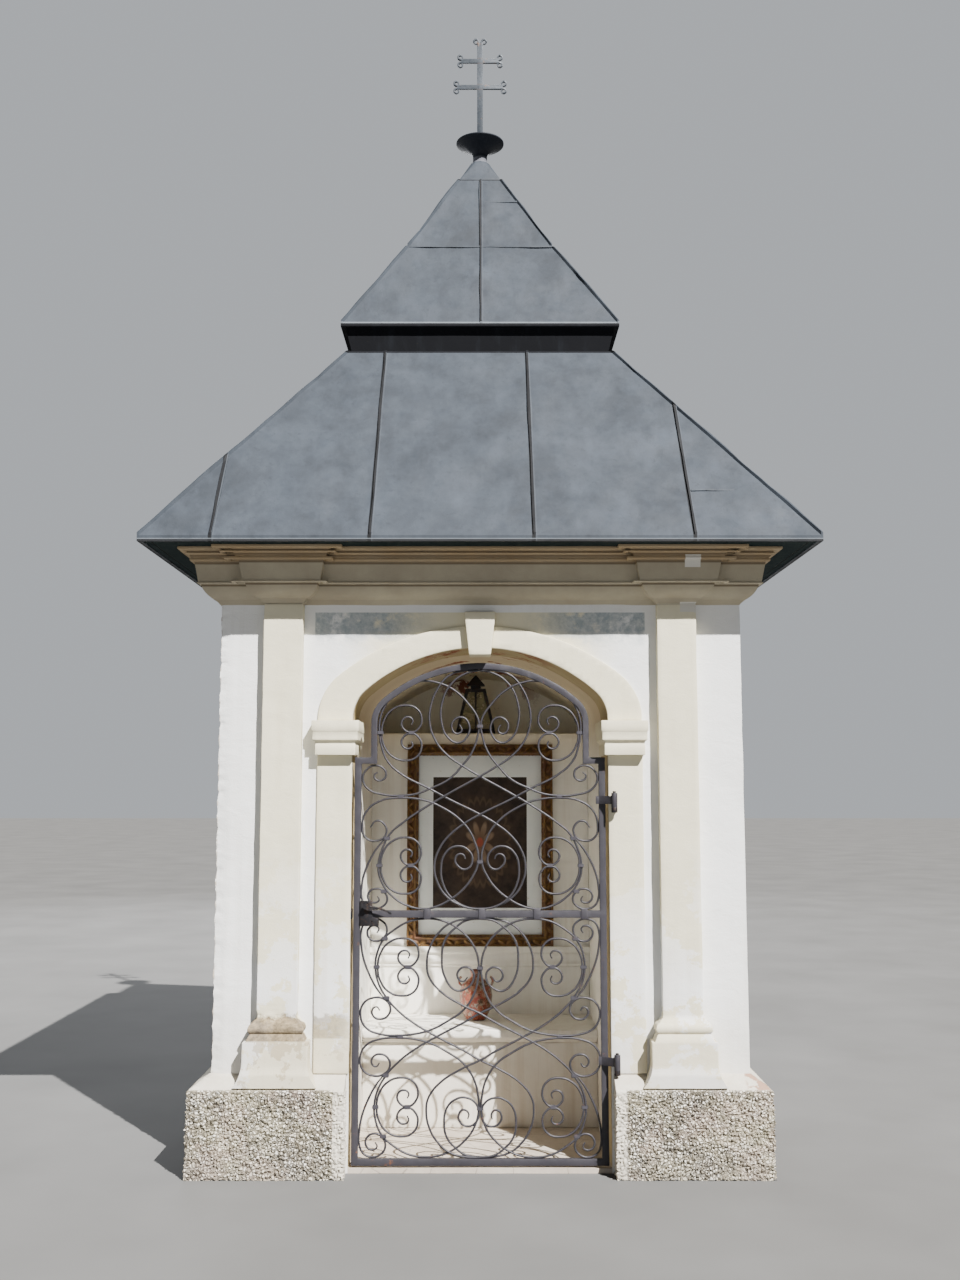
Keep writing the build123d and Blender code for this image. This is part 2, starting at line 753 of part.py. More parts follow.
def panel_scrolls(paths, ties, middle_ties, panel, middle, reach, drawn_reach):
    """The bars of a panel with their ties and mirror images, cut where they meet the frame."""
    stretch_x = (stile_inner - scroll_width / 2) / (drawn_half_width - scroll_width / 2)
    stretch_z = reach / drawn_reach
    front = scroll_middle - scroll_thickness / 2
    back = scroll_middle + scroll_thickness / 2
    placed = []
    for path in paths:
        for side in (-1, 1):
            placed.append([(side * x * stretch_x, middle + z * stretch_z) for x, z in path])
    solids = bars(placed, scroll_width, front, back)
    tie_front = scroll_middle - collar_thickness / 2
    tie_back = scroll_middle + collar_thickness / 2
    for x, z in middle_ties + ties + [(-x, z) for x, z in ties]:
        tie = Pos(x * stretch_x, middle + z * stretch_z) * Rectangle(collar_width, collar_height)
        solids.append(front_prism(tie, tie_front, tie_back))
    fused = solids[0].fuse(*solids[1:])
    return (fused & front_prism(panel, tie_front, tie_back)) - lock_block


lower_middle = (rail_top + lock_rail_bottom) / 2
lower_reach = (lock_rail_bottom - rail_top) / 2
upper_middle = lock_rail_top + (gate_springing + gate_arch_rise - arch_bar_width - lock_rail_top) * 0.466
upper_reach = gate_springing + gate_arch_rise - arch_bar_width - upper_middle
lower_scrolls = panel_scrolls(
    lower_bars, lower_ties, lower_middle_ties, lower_panel, lower_middle, lower_reach, drawn_half_height
)
write("lower_scrolls", lower_scrolls)
upper_scrolls = panel_scrolls(
    upper_bars, upper_ties, upper_middle_ties, upper_panel, upper_middle, upper_reach, drawn_upper_reach
)
write("upper_scrolls", upper_scrolls)

# Ties that hold the tops of the long bars to the lock rail
rail_ties = (-0.44, 0.016, 0.475, 0.87)
for place in rail_ties:
    tie = Pos(place * stile_inner, lock_rail_centre) * Rectangle(
        collar_width, lock_rail_height + 2 * rail_collar_lap
    )
    for y in (gate_front - 3, gate_back):
        gate_frame += front_prism(tie, y, y + 3)
write("gate_frame", gate_frame)

# Hinges: straps with barrels on the gate, pintles on the jamb
hinge_x = door_half + hinge_offset
hinge_y = front_face - hinge_standoff
upper_hinge_height = shoulder_height - upper_hinge_drop
lower_hinge_height = plinth_top + lower_hinge_rise


def hinge_strap(height):
    """A strap that runs from the gate's face forward to its barrel."""
    tail = hinge_x - barrel_radius - strap_length
    knee = gate_half - strap_knee
    outline = Polyline(
        (tail, gate_front - strap_thickness),
        (knee, gate_front - strap_thickness),
        (hinge_x - 0.77 * barrel_radius, hinge_y - 0.3 * barrel_radius),
        (hinge_x, hinge_y),
        (hinge_x - 0.7 * barrel_radius, hinge_y + 0.3 * barrel_radius),
        (knee, gate_front),
        (tail, gate_front),
        close=True,
    )
    strap = Pos(0, 0, height - strap_height / 2) * extrude(make_face(outline), amount=strap_height)
    barrel = Pos(hinge_x, hinge_y, height) * Cylinder(barrel_radius, barrel_height)
    bore = Pos(hinge_x, hinge_y, height) * Cylinder(pintle_radius + hinge_play, barrel_height + 2)
    return strap + barrel - bore


def pintle(height):
    """A fixed hook: its pin stands up through the barrel, its tail is built into the jamb."""
    bottom = height - barrel_height / 2 - hinge_play
    pin_height = barrel_height + pin_rise
    pin = Pos(hinge_x, hinge_y, bottom + pin_height / 2) * Cylinder(pintle_radius, pin_height)
    knuckle = Pos(hinge_x, hinge_y, bottom - knuckle_height / 2) * Cylinder(barrel_radius, knuckle_height)
    tail_half = 0.7 * barrel_radius
    tail = box(
        hinge_x - tail_half, hinge_x + tail_half, hinge_y, surround_front, bottom - knuckle_height, bottom
    )
    return pin + knuckle + tail


write("hinge_straps", hinge_strap(upper_hinge_height) + hinge_strap(lower_hinge_height))
write("hinge_pintles", pintle(upper_hinge_height) + pintle(lower_hinge_height))

# Lever handle on its spindle, drooping towards the middle of the gate
lever_front = lock_front - lever_standoff
lever_back = lever_front + lever_thickness
spindle_end = gate_front + spindle_reach
lever = front_prism(Pos(lever_x, lever_height) * Circle(spindle_radius), lever_front, spindle_end)
lever += front_prism(Pos(lever_x, lever_height) * Circle(lever_thickness), lever_front, lever_back)
grip_steps = [(0, 0), (0.28, -0.03), (0.65, -0.11), (1, -0.28)]
grip = [(lever_x + along * lever_length, lever_height + up * lever_length) for along, up in grip_steps]
write("lever_handle", lever.fuse(*bars([grip], lever_thickness, lever_front, lever_back)))
keeper_low = lock_rail_centre - keeper_height / 2
keeper = box(
    -door_half, keeper_thickness - door_half, front_face, front_face + keeper_width,
    keeper_low, keeper_low + keeper_height
)
write("lock_keeper", keeper)

# Altar, and the masonry block behind it that carries the picture and the lantern
altar_y = front_face + altar_front
reredos_y = front_face + reredos_front
mensa_top = altar_height + mensa_thickness
ledge_height = springing_height - ledge_drop
write("altar_block", box(-door_half, door_half, altar_y, reredos_y, floor_thickness, altar_height))


def wall_moulding(steps, projection, face_y, low, high, back_y):
    """A moulding that runs across the niche on a face that looks to the front."""
    profile = moulding(steps, projection, low, high)
    shape = side_prism(profile_face(face_y, back_y, profile), -door_half, door_half)
    return shape & box(-door_half, door_half, -far, back_y, 0, high)


mensa_steps = [(0, 0, 0), (0.6, 0.23, 0), (1, 0.48, 0), (1, 1, 0)]
write("altar_slab", wall_moulding(mensa_steps, mensa_overhang, altar_y, altar_height, mensa_top, reredos_y))
write("reredos", box(-door_half, door_half, reredos_y, niche_back, floor_thickness, ledge_height))
shelf_bottom = mensa_top + shelf_rise
shelf_top = shelf_bottom + shelf_height
shelf_steps = [
    (0, 0, 0), (0.24, 0.08, 0), (0.24, 0.17, 0), (0.65, 0.54, -0.18), (0.65, 0.65, 0), (1, 0.73, 0), (1, 1, 0),
]
shelf = wall_moulding(shelf_steps, shelf_projection, reredos_y, shelf_bottom, shelf_top, niche_back)
write("picture_shelf", shelf & box(-door_half, door_half, -far, reredos_y, 0, shelf_top))

# Picture that stands on the shelf moulding
picture_height = ledge_height - picture_headroom - shelf_top
picture_centre = shelf_top + picture_height / 2
print_width = picture_width - 2 * (picture_frame_width + mat_side)
print_height = picture_height - 2 * (picture_frame_width + mat_end)
mat_front = reredos_y - mat_depth
outer = Pos(0, picture_centre) * Rectangle(picture_width, picture_height)
inner = Pos(0, picture_centre) * Rectangle(
    picture_width - 2 * picture_frame_width, picture_height - 2 * picture_frame_width
)
print_face = Pos(0, picture_centre + print_lift) * Rectangle(print_width, print_height)
write("picture_frame", front_prism(outer - inner, reredos_y - picture_frame_depth, reredos_y))
write("picture_mat", front_prism(inner - print_face, mat_front, reredos_y))
write("picture_print", front_prism(print_face, mat_front + print_setback, reredos_y))

# Jar with two ears, on the altar
jar_y = reredos_y - jar_setback
jar_outline = [
    (0, 0),
    (0.62 * jar_radius, 0),
    (jar_radius, 0.35 * jar_height),
    (0.95 * jar_radius, 0.7 * jar_height),
    (jar_neck_radius, 0.85 * jar_height),
    (1.1 * jar_neck_radius, jar_height),
    (0, jar_height),
]
jar = revolve(Plane.XZ * make_face(Polyline(*jar_outline, close=True)), Axis.Z)
for side in (-1, 1):
    jar += Pos(side * 0.86 * jar_radius, 0, 0.79 * jar_height) * Box(
        jar_ear_thickness, jar_ear_thickness, jar_ear_length
    )
write("votive_jar", Pos(jar_x, jar_y, mensa_top) * jar)

# Lantern on the ledge
lantern_y = reredos_y + lantern_setback
body_bottom = ledge_height + lantern_foot
body_top = body_bottom + lantern_body_height
post_width = 1.6 * lantern_bar
window_margin = 1.4 * lantern_bar


def lantern_taper(inset):
    """The tapered body of the lantern, drawn inwards by the inset."""
    return frustum(lantern_half - inset, body_bottom, lantern_shoulder_half - inset, body_top)


def lantern_windows():
    """Two tall openings through the body, one each side of a glazing bar."""
    openings = []
    for side in (-1, 1):
        outline = Polyline(
            (side * lantern_bar / 2, body_bottom + window_margin),
            (side * (lantern_half - post_width), body_bottom + window_margin),
            (side * (lantern_shoulder_half - post_width), body_top - window_margin),
            (side * lantern_bar / 2, body_top - window_margin),
            close=True,
        )
        openings.append(front_prism(make_face(outline), -2 * lantern_half, 2 * lantern_half))
    return openings[0] + openings[1]


lantern = lantern_taper(0) - lantern_taper(lantern_bar)
lantern -= lantern_windows() + Rot(0, 0, 90) * lantern_windows()
foot_place = lantern_half - lantern_bar
for x in (-foot_place, foot_place):
    for y in (-foot_place, foot_place):
        lantern += box(
            x - lantern_bar, x + lantern_bar, y - lantern_bar, y + lantern_bar, ledge_height, body_bottom
        )
collar_top = body_top + lantern_collar_height
collar_half = lantern_shoulder_half / 2
lantern += box(-collar_half, collar_half, -collar_half, collar_half, body_top, collar_top)
lid_half = lantern_shoulder_half
lid_top = body_top + lantern_bar / 2
lantern += box(-lid_half, lid_half, -lid_half, lid_half, body_top, lid_top)
cap_tip = lantern_bar / 3
lantern += frustum(lantern_cap_half, collar_top, cap_tip, collar_top + lantern_cap_height)
lantern_place = Pos(lantern_x, lantern_y, 0)
write("lantern_frame", lantern_place * lantern)
glass = lantern_taper(lantern_bar) - lantern_taper(lantern_bar + lantern_glass_thickness)
write("lantern_glass", lantern_place * glass)
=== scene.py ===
import json
import math

import bmesh
import bpy
from bpy.props import FloatProperty, FloatVectorProperty, IntProperty, PointerProperty
from mathutils import Matrix, Vector, noise


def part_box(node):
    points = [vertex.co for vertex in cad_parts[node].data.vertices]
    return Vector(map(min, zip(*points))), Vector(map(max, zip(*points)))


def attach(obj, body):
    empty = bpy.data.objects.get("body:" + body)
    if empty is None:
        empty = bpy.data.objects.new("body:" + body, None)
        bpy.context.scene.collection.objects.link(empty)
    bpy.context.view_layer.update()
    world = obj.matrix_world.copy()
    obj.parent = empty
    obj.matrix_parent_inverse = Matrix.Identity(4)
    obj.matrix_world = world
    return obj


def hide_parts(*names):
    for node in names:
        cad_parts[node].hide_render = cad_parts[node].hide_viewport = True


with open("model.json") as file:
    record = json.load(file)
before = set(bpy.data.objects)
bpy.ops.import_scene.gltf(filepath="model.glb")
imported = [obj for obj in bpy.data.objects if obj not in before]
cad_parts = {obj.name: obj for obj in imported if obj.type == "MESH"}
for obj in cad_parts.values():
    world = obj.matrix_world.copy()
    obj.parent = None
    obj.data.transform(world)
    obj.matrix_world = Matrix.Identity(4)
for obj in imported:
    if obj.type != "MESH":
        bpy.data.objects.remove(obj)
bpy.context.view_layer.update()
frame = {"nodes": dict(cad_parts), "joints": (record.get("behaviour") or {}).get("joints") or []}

bl_info = {
    "name": "Wayside Shrine",
    "version": (1, 0, 0),
    "blender": (4, 5, 0),
    "location": "View3D > Sidebar > Shrine",
    "description": "Dresses a masonry wayside shrine: render, sheet roofs, scrolled gate, furnishing",
    "category": "Object",
}

MM = 0.001


def colour(name, description, default):
    """A colour that a user may change."""
    return FloatVectorProperty(
        name=name, description=description, default=default, subtype="COLOR", size=3, min=0, max=1
    )


def length(name, description, default):
    """A size in metres that a user may change."""
    return FloatProperty(name=name, description=description, default=default, unit="LENGTH", precision=4)


def angle(name, description, degrees):
    """An angle that a user may change."""
    return FloatProperty(name=name, description=description, default=math.radians(degrees), subtype="ANGLE")


def strength(name, description, default):
    """A number that a user may change."""
    return FloatProperty(name=name, description=description, default=default, min=0)


class ShrineColours(bpy.types.PropertyGroup):
    """Colours of the finishes."""

    limewash: colour("Limewash", "White lime wash of the walls", (0.84, 0.845, 0.84))
    ivory: colour("Ivory paint", "Pilasters, cornice and door surround", (0.735, 0.685, 0.515))
    niche: colour("Niche wash", "Off-white wash inside the niche", (0.86, 0.84, 0.775))
    mortar: colour("Mortar", "Mortar of the thrown render on the plinth", (0.42, 0.37, 0.32))
    sheet: colour("Roof sheet", "Weathered painted sheet metal", (0.033, 0.0405, 0.052))
    gate: colour("Gate paint", "Violet grey paint of the gate", (0.034, 0.032, 0.039))
    iron: colour("Dark iron", "Lock, pintles and lantern", (0.024, 0.023, 0.026))
    gilding: colour("Gilding", "Antique gold of the picture frame", (0.21, 0.125, 0.045))
    glaze: colour("Jar glaze", "Red glaze of the jar", (0.25, 0.042, 0.024))
    cross: colour("Cross paint", "Light grey paint of the cross", (0.040, 0.050, 0.064))


class RenderSizes(bpy.types.PropertyGroup):
    """Sizes of the wall render and the plinth's thrown render."""

    cell: length("Wall cell", "Spacing of the points of the wall's surface", 0.032)
    unevenness: length("Unevenness", "How far the trowelled surface leaves the flat", 0.0022)
    chip: length("Corner chips", "Depth of the chips at the worn corner", 0.014)
    pebble: length("Pebble size", "Size of the thrown stones", 0.0135)
    pebble_relief: length("Pebble relief", "How far the stones stand out", 0.0135)
    front_cell: length("Front plinth cell", "Spacing of the points on the front plinth", 0.0056)
    side_cell: length("Side plinth cell", "Spacing of the points on the other plinths", 0.0105)


class RoofSizes(bpy.types.PropertyGroup):
    """Sizes of the sheet-metal work."""

    cell: length("Sheet cell", "Spacing of the points of the sheets", 0.03)
    wave: length("Sheet waves", "How far the sheets buckle", 0.009)
    dent: length("Dent depth", "Depth of the knocks in the lower roof", 0.022)


class GateSizes(bpy.types.PropertyGroup):
    """Sizes of the scrollwork."""

    bar: length("Bar width", "Width of a scroll bar", 0.0092)
    step: length("Step", "Spacing of the rings along a bar", 0.0065)
    hammer: length("Hammer marks", "How far the forged surface leaves the smooth bar", 0.0004)
    tie_width: length("Tie width", "Width of the ties that hold two bars", 0.0265)
    tie_height: length("Tie height", "Height of a tie", 0.0165)
    seed: IntProperty(name="Seed", description="Seed of the hammer marks", default=7, min=0)


class StudioSizes(bpy.types.PropertyGroup):
    """Camera and studio."""

    eye: length("Eye height", "Height of the camera", 1.58)
    distance: length("Distance", "From the camera to the middle of the plan", 6.68)
    pitch: angle("Pitch", "How far the camera looks up", 6.45)
    lens: strength("Lens", "Focal length, for 36 mm on the long side", 36.56)
    key: strength("Key light", "Strength of the key light", 15.5)
    softness: angle("Softness", "Apparent width of the key light", 0.53)
    panels: strength("Panels", "Power of the front panel in watts", 45)
    fill: strength("Fill", "Strength of the surrounding light", 0.055)
    backdrop: strength("Backdrop", "Brightness of the backdrop", 0.55)


# Mesh helpers


def new_object(name, data):
    """An object at the origin from a mesh, a curve or a bmesh, which is freed."""
    if isinstance(data, bmesh.types.BMesh):
        bm, data = data, bpy.data.meshes.new(name)
        bm.to_mesh(data)
        bm.free()
    made = bpy.data.objects.new(name, data)
    bpy.context.scene.collection.objects.link(made)
    return made


def discard(made):
    """Remove an object with its mesh or curve."""
    data = made.data
    bpy.data.objects.remove(made)
    (bpy.data.curves if isinstance(data, bpy.types.Curve) else bpy.data.meshes).remove(data)


def cad_copy(*nodes):
    """A merged copy of some nodes, each with its flat faces whole again."""
    joined = bmesh.new()
    for node in nodes:
        part = bmesh.new()
        part.from_mesh(frame["nodes"][node].data)
        bmesh.ops.remove_doubles(part, verts=part.verts, dist=0.02 * MM)
        bmesh.ops.dissolve_limit(
            part, angle_limit=math.radians(0.5), verts=part.verts, edges=part.edges,
            use_dissolve_boundaries=False,
        )
        mesh = bpy.data.meshes.new("part")
        part.to_mesh(mesh)
        part.free()
        joined.from_mesh(mesh)
        bpy.data.meshes.remove(mesh)
    return joined


def evaluated_mesh(made):
    """The mesh that an object's modifiers give; they are removed."""
    depsgraph = bpy.context.evaluated_depsgraph_get()
    mesh = bpy.data.meshes.new_from_object(made.evaluated_get(depsgraph))
    made.modifiers.clear()
    return mesh


def rounded(made, width, segments=2):
    """Round the edges of an object."""
    bevel = made.modifiers.new("Rounded edges", "BEVEL")
    bevel.width = width
    bevel.segments = segments
    bevel.limit_method = "ANGLE"
    bevel.angle_limit = math.radians(30)
    bevel.use_clamp_overlap = True
    made.data = evaluated_mesh(made)


def cut_between(bm, faces, places, axis):
    """Cut faces at places along an axis, the middle one first, so that each face is met by few cuts."""
    if not faces or not places:
        return
    middle = len(places) // 2
    at = places[middle]
    normal = Vector([1.0 if i == axis else 0.0 for i in range(3)])
    below, above, crossing = [], [], []
    for face in faces:
        reach = [v.co[axis] for v in face.verts]
        if max(reach) <= at + 1e-7:
            below.append(face)
        elif min(reach) >= at - 1e-7:
            above.append(face)
        else:
            crossing.append(face)
    if crossing:
        edges = {e for f in crossing for e in f.edges}
        verts = {v for f in crossing for v in f.verts}
        result = bmesh.ops.bisect_plane(
            bm, geom=[*verts, *edges, *crossing], dist=1e-7, plane_co=normal * at, plane_no=normal
        )
        for face in {g for g in result["geom"] if isinstance(g, bmesh.types.BMFace)}:
            centre = sum(v.co[axis] for v in face.verts) / len(face.verts)
            (above if centre > at else below).append(face)
    cut_between(bm, below, places[:middle], axis)
    cut_between(bm, above, places[middle + 1 :], axis)


def cut_in_cells(bm, cell, keep=None, axes=(0, 1, 2)):
    """Cut the faces into cells; keep(face) picks the faces to cut."""
    for axis in axes:
        faces = [f for f in bm.faces if abs(f.normal[axis]) < 0.98 and (keep is None or keep(f))]
        if not faces:
            continue
        low = min(v.co[axis] for f in faces for v in f.verts)
        high = max(v.co[axis] for f in faces for v in f.verts)
        count = int((high - low) / cell)
        places = [low + (high - low) * step / (count + 1) for step in range(1, count + 1)]
        cut_between(bm, faces, places, axis)


def ripple(place, size, octaves):
    """Smooth noise at a place, between about -1 and 1."""
    return noise.fractal(place / size, 1.0, 2.0, octaves)


def roughen(bm, amount, size):
    """Move every point along its normal by smooth noise, and none below the ground."""
    bm.normal_update()
    moved = [vert.co + vert.normal * (ripple(vert.co, size, 3) * amount) for vert in bm.verts]
    for vert, place in zip(bm.verts, moved):
        place.z = max(place.z, 0.0)
        vert.co = place


def bridge(bm, rings, wrap=True, loop=False):
    """Faces from ring to ring; wrap closes each ring, loop joins the last ring to the first."""
    for before, after in zip(rings, rings[1:] + rings[:1] if loop else rings[1:]):
        count = max(len(before), len(after))
        for near in range(count if wrap else count - 1):
            far = (near + 1) % count
            if len(before) == 1:
                corners = (before[0], after[far], after[near])
            elif len(after) == 1:
                corners = (before[near], before[far], after[0])
            else:
                corners = (before[near], before[far], after[far], after[near])
            bm.faces.new(corners)


def tube(bm, path, corners, section):
    """A closed tube along a path; section(share, corner) gives a corner's turn and distance."""
    rings = []
    last = len(path) - 1
    for index, place in enumerate(path):
        ahead = (path[min(index + 1, last)] - path[max(index - 1, 0)]).normalized()
        ring = []
        for corner in range(corners):
            turn, out = section(index / last, corner)
            across = Vector((-ahead.z, 0, ahead.x)) * (math.cos(turn) * out)
            ring.append(bm.verts.new(place + across + Vector((0, math.sin(turn) * out, 0))))
        rings.append(ring)
    bridge(bm, rings)
    bm.faces.new(rings[0])
    bm.faces.new(rings[-1])


def pin(bm, centre, radius, depth, segments):
    """A round pin that lies along Y."""
    matrix = Matrix.Translation(centre) @ Matrix.Rotation(math.pi / 2, 4, "X")
    bmesh.ops.create_cone(
        bm, cap_ends=True, segments=segments, radius1=radius, radius2=radius, depth=depth, matrix=matrix
    )


def smooth_shading(made, sharp=35):
    """Smooth faces with the edges past an angle kept sharp."""
    bm = bmesh.new()
    bm.from_mesh(made.data)
    for face in bm.faces:
        face.smooth = True
    for edge in bm.edges:
        if len(edge.link_faces) == 2:
            edge.smooth = edge.calc_face_angle(0) < math.radians(sharp)
    bm.to_mesh(made.data)
    bm.free()
    return made


def built(name, bm, sharp):
    """A smooth object from a bmesh, with its faces turned outwards."""
    bmesh.ops.recalc_face_normals(bm, faces=bm.faces)
    return smooth_shading(new_object(name, bm), sharp)


def split_large_faces(bm):
    """Triangulate what has more than four corners."""
    bmesh.ops.triangulate(bm, faces=[f for f in bm.faces if len(f.verts) > 4])


def edited(made, change, sharp):
    """The object after change(bm) has reworked its mesh."""
    bm = bmesh.new()
    bm.from_mesh(made.data)
    change(bm)
    split_large_faces(bm)
    bm.to_mesh(made.data)
    bm.free()
    return smooth_shading(made, sharp)


materials = {}


def settle(made, material, nodes=(), body="masonry", slot=None):
    """Give a finished piece its material and body, and hide the nodes that it stands for; slot is not used.
    """
    made.data.materials.clear()
    made.data.materials.append(materials[material])
    if nodes:
        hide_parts(*nodes)
    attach(made, body)
    return made


def repaint(material, node):
    """Give a CAD node a material."""
    mesh = frame["nodes"][node].data
    mesh.materials.clear()
    mesh.materials.append(materials[material])


def dressed(name, nodes, material, edge=0.004, cell=None, uneven=0.0, size=0.12, sharp=35, fix=None, **where):
    """A copy of CAD nodes with rounded edges and a hand-worked surface, standing for them."""
    made = new_object(name, cad_copy(*nodes))
    if edge:
        rounded(made, edge)

    def worked(bm):
        if cell:
            cut_in_cells(bm, cell)
        if uneven:
            roughen(bm, uneven, size)
        if fix:
            fix(bm)

    return settle(edited(made, worked, sharp), material, nodes, **where)


# Shader helpers


class Field:
    """What a node puts out at one socket; sums, products and the like of fields are Math nodes."""

    def __init__(self, socket):
        self.socket = socket
        self.tree = socket.id_data

    def math(self, operation, *others):
        """The result of a Math node, with this field first."""
        return put(self.tree, "ShaderNodeMath", dict(enumerate((self, *others))), operation=operation)

    def __add__(self, other):
        return self.math("ADD", other)

    def __sub__(self, other):
        return self.math("SUBTRACT", other)

    def __rsub__(self, other):
        return put(self.tree, "ShaderNodeMath", {0: other, 1: self}, operation="SUBTRACT")

    def __mul__(self, other):
        return self.math("MULTIPLY", other)

    def __truediv__(self, other):
        return self.math("DIVIDE", other)

    def __abs__(self):
        return self.math("ABSOLUTE")


def put(tree, kind, inputs=None, out=0, **settings):
    """Add a node, set its options, fill its sockets with values or fields, and return one output."""
    made = tree.nodes.new(kind)
    for name, value in settings.items():
        setattr(made, name, value)
    for key, value in (inputs or {}).items():
        socket = made.inputs[key]
        if isinstance(value, Field):
            tree.links.new(value.socket, socket)
        else:
            socket.default_value = (*value, 1.0) if socket.type == "RGBA" and len(value) == 3 else value
    return Field(made.outputs[out])


def parts(vector):
    """X, Y and Z of a vector."""
    split = put(vector.tree, "ShaderNodeSeparateXYZ", {"Vector": vector}).socket.node
    return [Field(socket) for socket in split.outputs]


def mix(factor, first, second):
    """Two colours mixed by a field."""
    return put(factor.tree, "ShaderNodeMix", {"Factor": factor, 6: first, 7: second}, 2, data_type="RGBA")


def fade(value, low, high, to_low=0.0, to_high=1.0):
    """Map a field from one range to another, clamped."""
    inputs = {"Value": value, "From Min": low, "From Max": high, "To Min": to_low, "To Max": to_high}
    return put(value.tree, "ShaderNodeMapRange", inputs)


def band(value, middle, outer, inner):
    """1 near a middle value, fading to 0 at the outer distance from it."""
    return fade(abs(value - middle), outer, inner)


def noise_at(place, scale, detail=4.0, roughness=0.55, distortion=0.0):
    """Noise between about 0.3 and 0.7."""
    inputs = {"Vector": place, "Scale": scale, "Detail": detail}
    inputs |= {"Roughness": roughness, "Distortion": distortion}
    return put(place.tree, "ShaderNodeTexNoise", inputs)


def cracks(place, scale, out="Distance"):
    """Distance to the edges of a field of cells."""
    inputs = {"Vector": place, "Scale": scale, "Randomness": 1.0}
    return put(place.tree, "ShaderNodeTexVoronoi", inputs, out, feature="DISTANCE_TO_EDGE")


def stretched(place, scale):
    """The coordinates scaled along each axis."""
    return put(place.tree, "ShaderNodeMapping", {"Vector": place, "Scale": scale})


shared = {}
SOCKETS = {"Vector": "NodeSocketVector", "First": "NodeSocketColor", "Second": "NodeSocketColor"}


def group(key, name, output, build, **inputs):
    """Build a shader node group; build(given) returns its one output."""
    tree = bpy.data.node_groups.new(name, "ShaderNodeTree")
    for label, default in {"Vector": None, **inputs}.items():
        label = label.replace("_", " ")
        kind = SOCKETS.get(label, "NodeSocketFloat")
        socket = tree.interface.new_socket(label, in_out="INPUT", socket_type=kind)
        if default is not None:
            socket.default_value = default
    kind = "NodeSocketColor" if output == "Colour" else "NodeSocketFloat"
    tree.interface.new_socket(output, in_out="OUTPUT", socket_type=kind)
    start = tree.nodes.new("NodeGroupInput")
    end = tree.nodes.new("NodeGroupOutput")
    result = build({socket.name: Field(socket) for socket in start.outputs if socket.name})
    tree.links.new(result.socket, end.inputs[output])
    shared[key] = tree


def use(effect, place, **inputs):
    """Place a shared group; words in socket names are written with underscores."""
    inputs = {key.replace("_", " "): value for key, value in inputs.items()}
    return put(place.tree, "ShaderNodeGroup", {"Vector": place, **inputs}, node_tree=shared[effect])


def blotches(place, scale, first, second):
    """Two colours in soft clouds."""
    return use("blotch", place, Scale=scale, First=first, Second=second)


def build_blotch(given):
    """Two colours mixed in soft clouds with finer specks over them."""
    cloud = fade(noise_at(given["Vector"], given["Scale"], 5.0, 0.6), 0.38, 0.62)
    fine = fade(noise_at(given["Vector"], given["Scale"] * 9.0, 3.0, 0.7), 0.35, 0.65)
    return mix(cloud * 0.7 + fine * 0.3, given["First"], given["Second"])


def build_damp(given):
    """A stain that rises from a level, with a broken upper edge."""
    wander = (noise_at(given["Vector"], 3.5, 6.0, 0.7) - 0.5) * given["Raggedness"]
    height = parts(given["Vector"])[2] + wander
    return fade(height, given["Level"], given["Level"] + given["Reach"], 1.0, 0.0)


def build_runs(given):
    """Streaks that rain has washed down a surface."""
    streak = noise_at(stretched(given["Vector"], (22.0, 22.0, 0.9)), 1.0, 4.0, 0.6)
    patch = noise_at(given["Vector"], 1.3, 2.0, 0.5)
    return fade(streak, 0.5, 0.72) * fade(patch, 0.42, 0.62)


def build_trowel(given):
    """The relief of hand-floated plaster: sand grain over broad sweeps."""
    sweep = noise_at(stretched(given["Vector"], (1.0, 1.0, 1.7)), 9.0, 4.0, 0.55, 0.6)
    return sweep + noise_at(given["Vector"], given["Grain"], 3.0, 0.7) * given["Grain Amount"]


def build_patches(given):
    """Patches where the paint has peeled, with a crisp torn edge."""
    low = 1.0 - given["Amount"]
    return fade(noise_at(given["Vector"], given["Scale"], 8.0, 0.7), low, low + 0.012)


def make_shared_groups():
    """The effects that several finishes use."""
    group("blotch", "Blotches", "Colour", build_blotch, Scale=3.0, First=None, Second=None)
    group("damp", "Rising damp", "Mask", build_damp, Level=0.4, Reach=0.25, Raggedness=0.5)
    group("runs", "Rain runs", "Mask", build_runs)
    group("trowel", "Floated plaster", "Height", build_trowel, Grain=260.0, Grain_Amount=0.25)
    group("patches", "Peeling", "Mask", build_patches, Scale=4.0, Amount=0.38)


def finish(name, paint, **shader):
    """A material; paint(coordinates) returns the fields that it drives."""
    material = bpy.data.materials.new(name)
    material.use_nodes = True
    tree = material.node_tree
    surface = tree.nodes["Principled BSDF"]
    for key, value in shader.items():
        surface.inputs[key.replace("_", " ")].default_value = value
    results = paint(put(tree, "ShaderNodeTexCoord", out="Object"))
    height, distance, weight = results.pop("Relief")
    bump = {"Height": height, "Distance": distance, "Strength": weight}
    results["Normal"] = put(tree, "ShaderNodeBump", bump)
    for key, value in results.items():
        tree.links.new(value.socket, surface.inputs[key])
    return material


def darker(triple, share):
    """The colour with its values multiplied."""
    return tuple(value * share for value in triple)


# Finishes


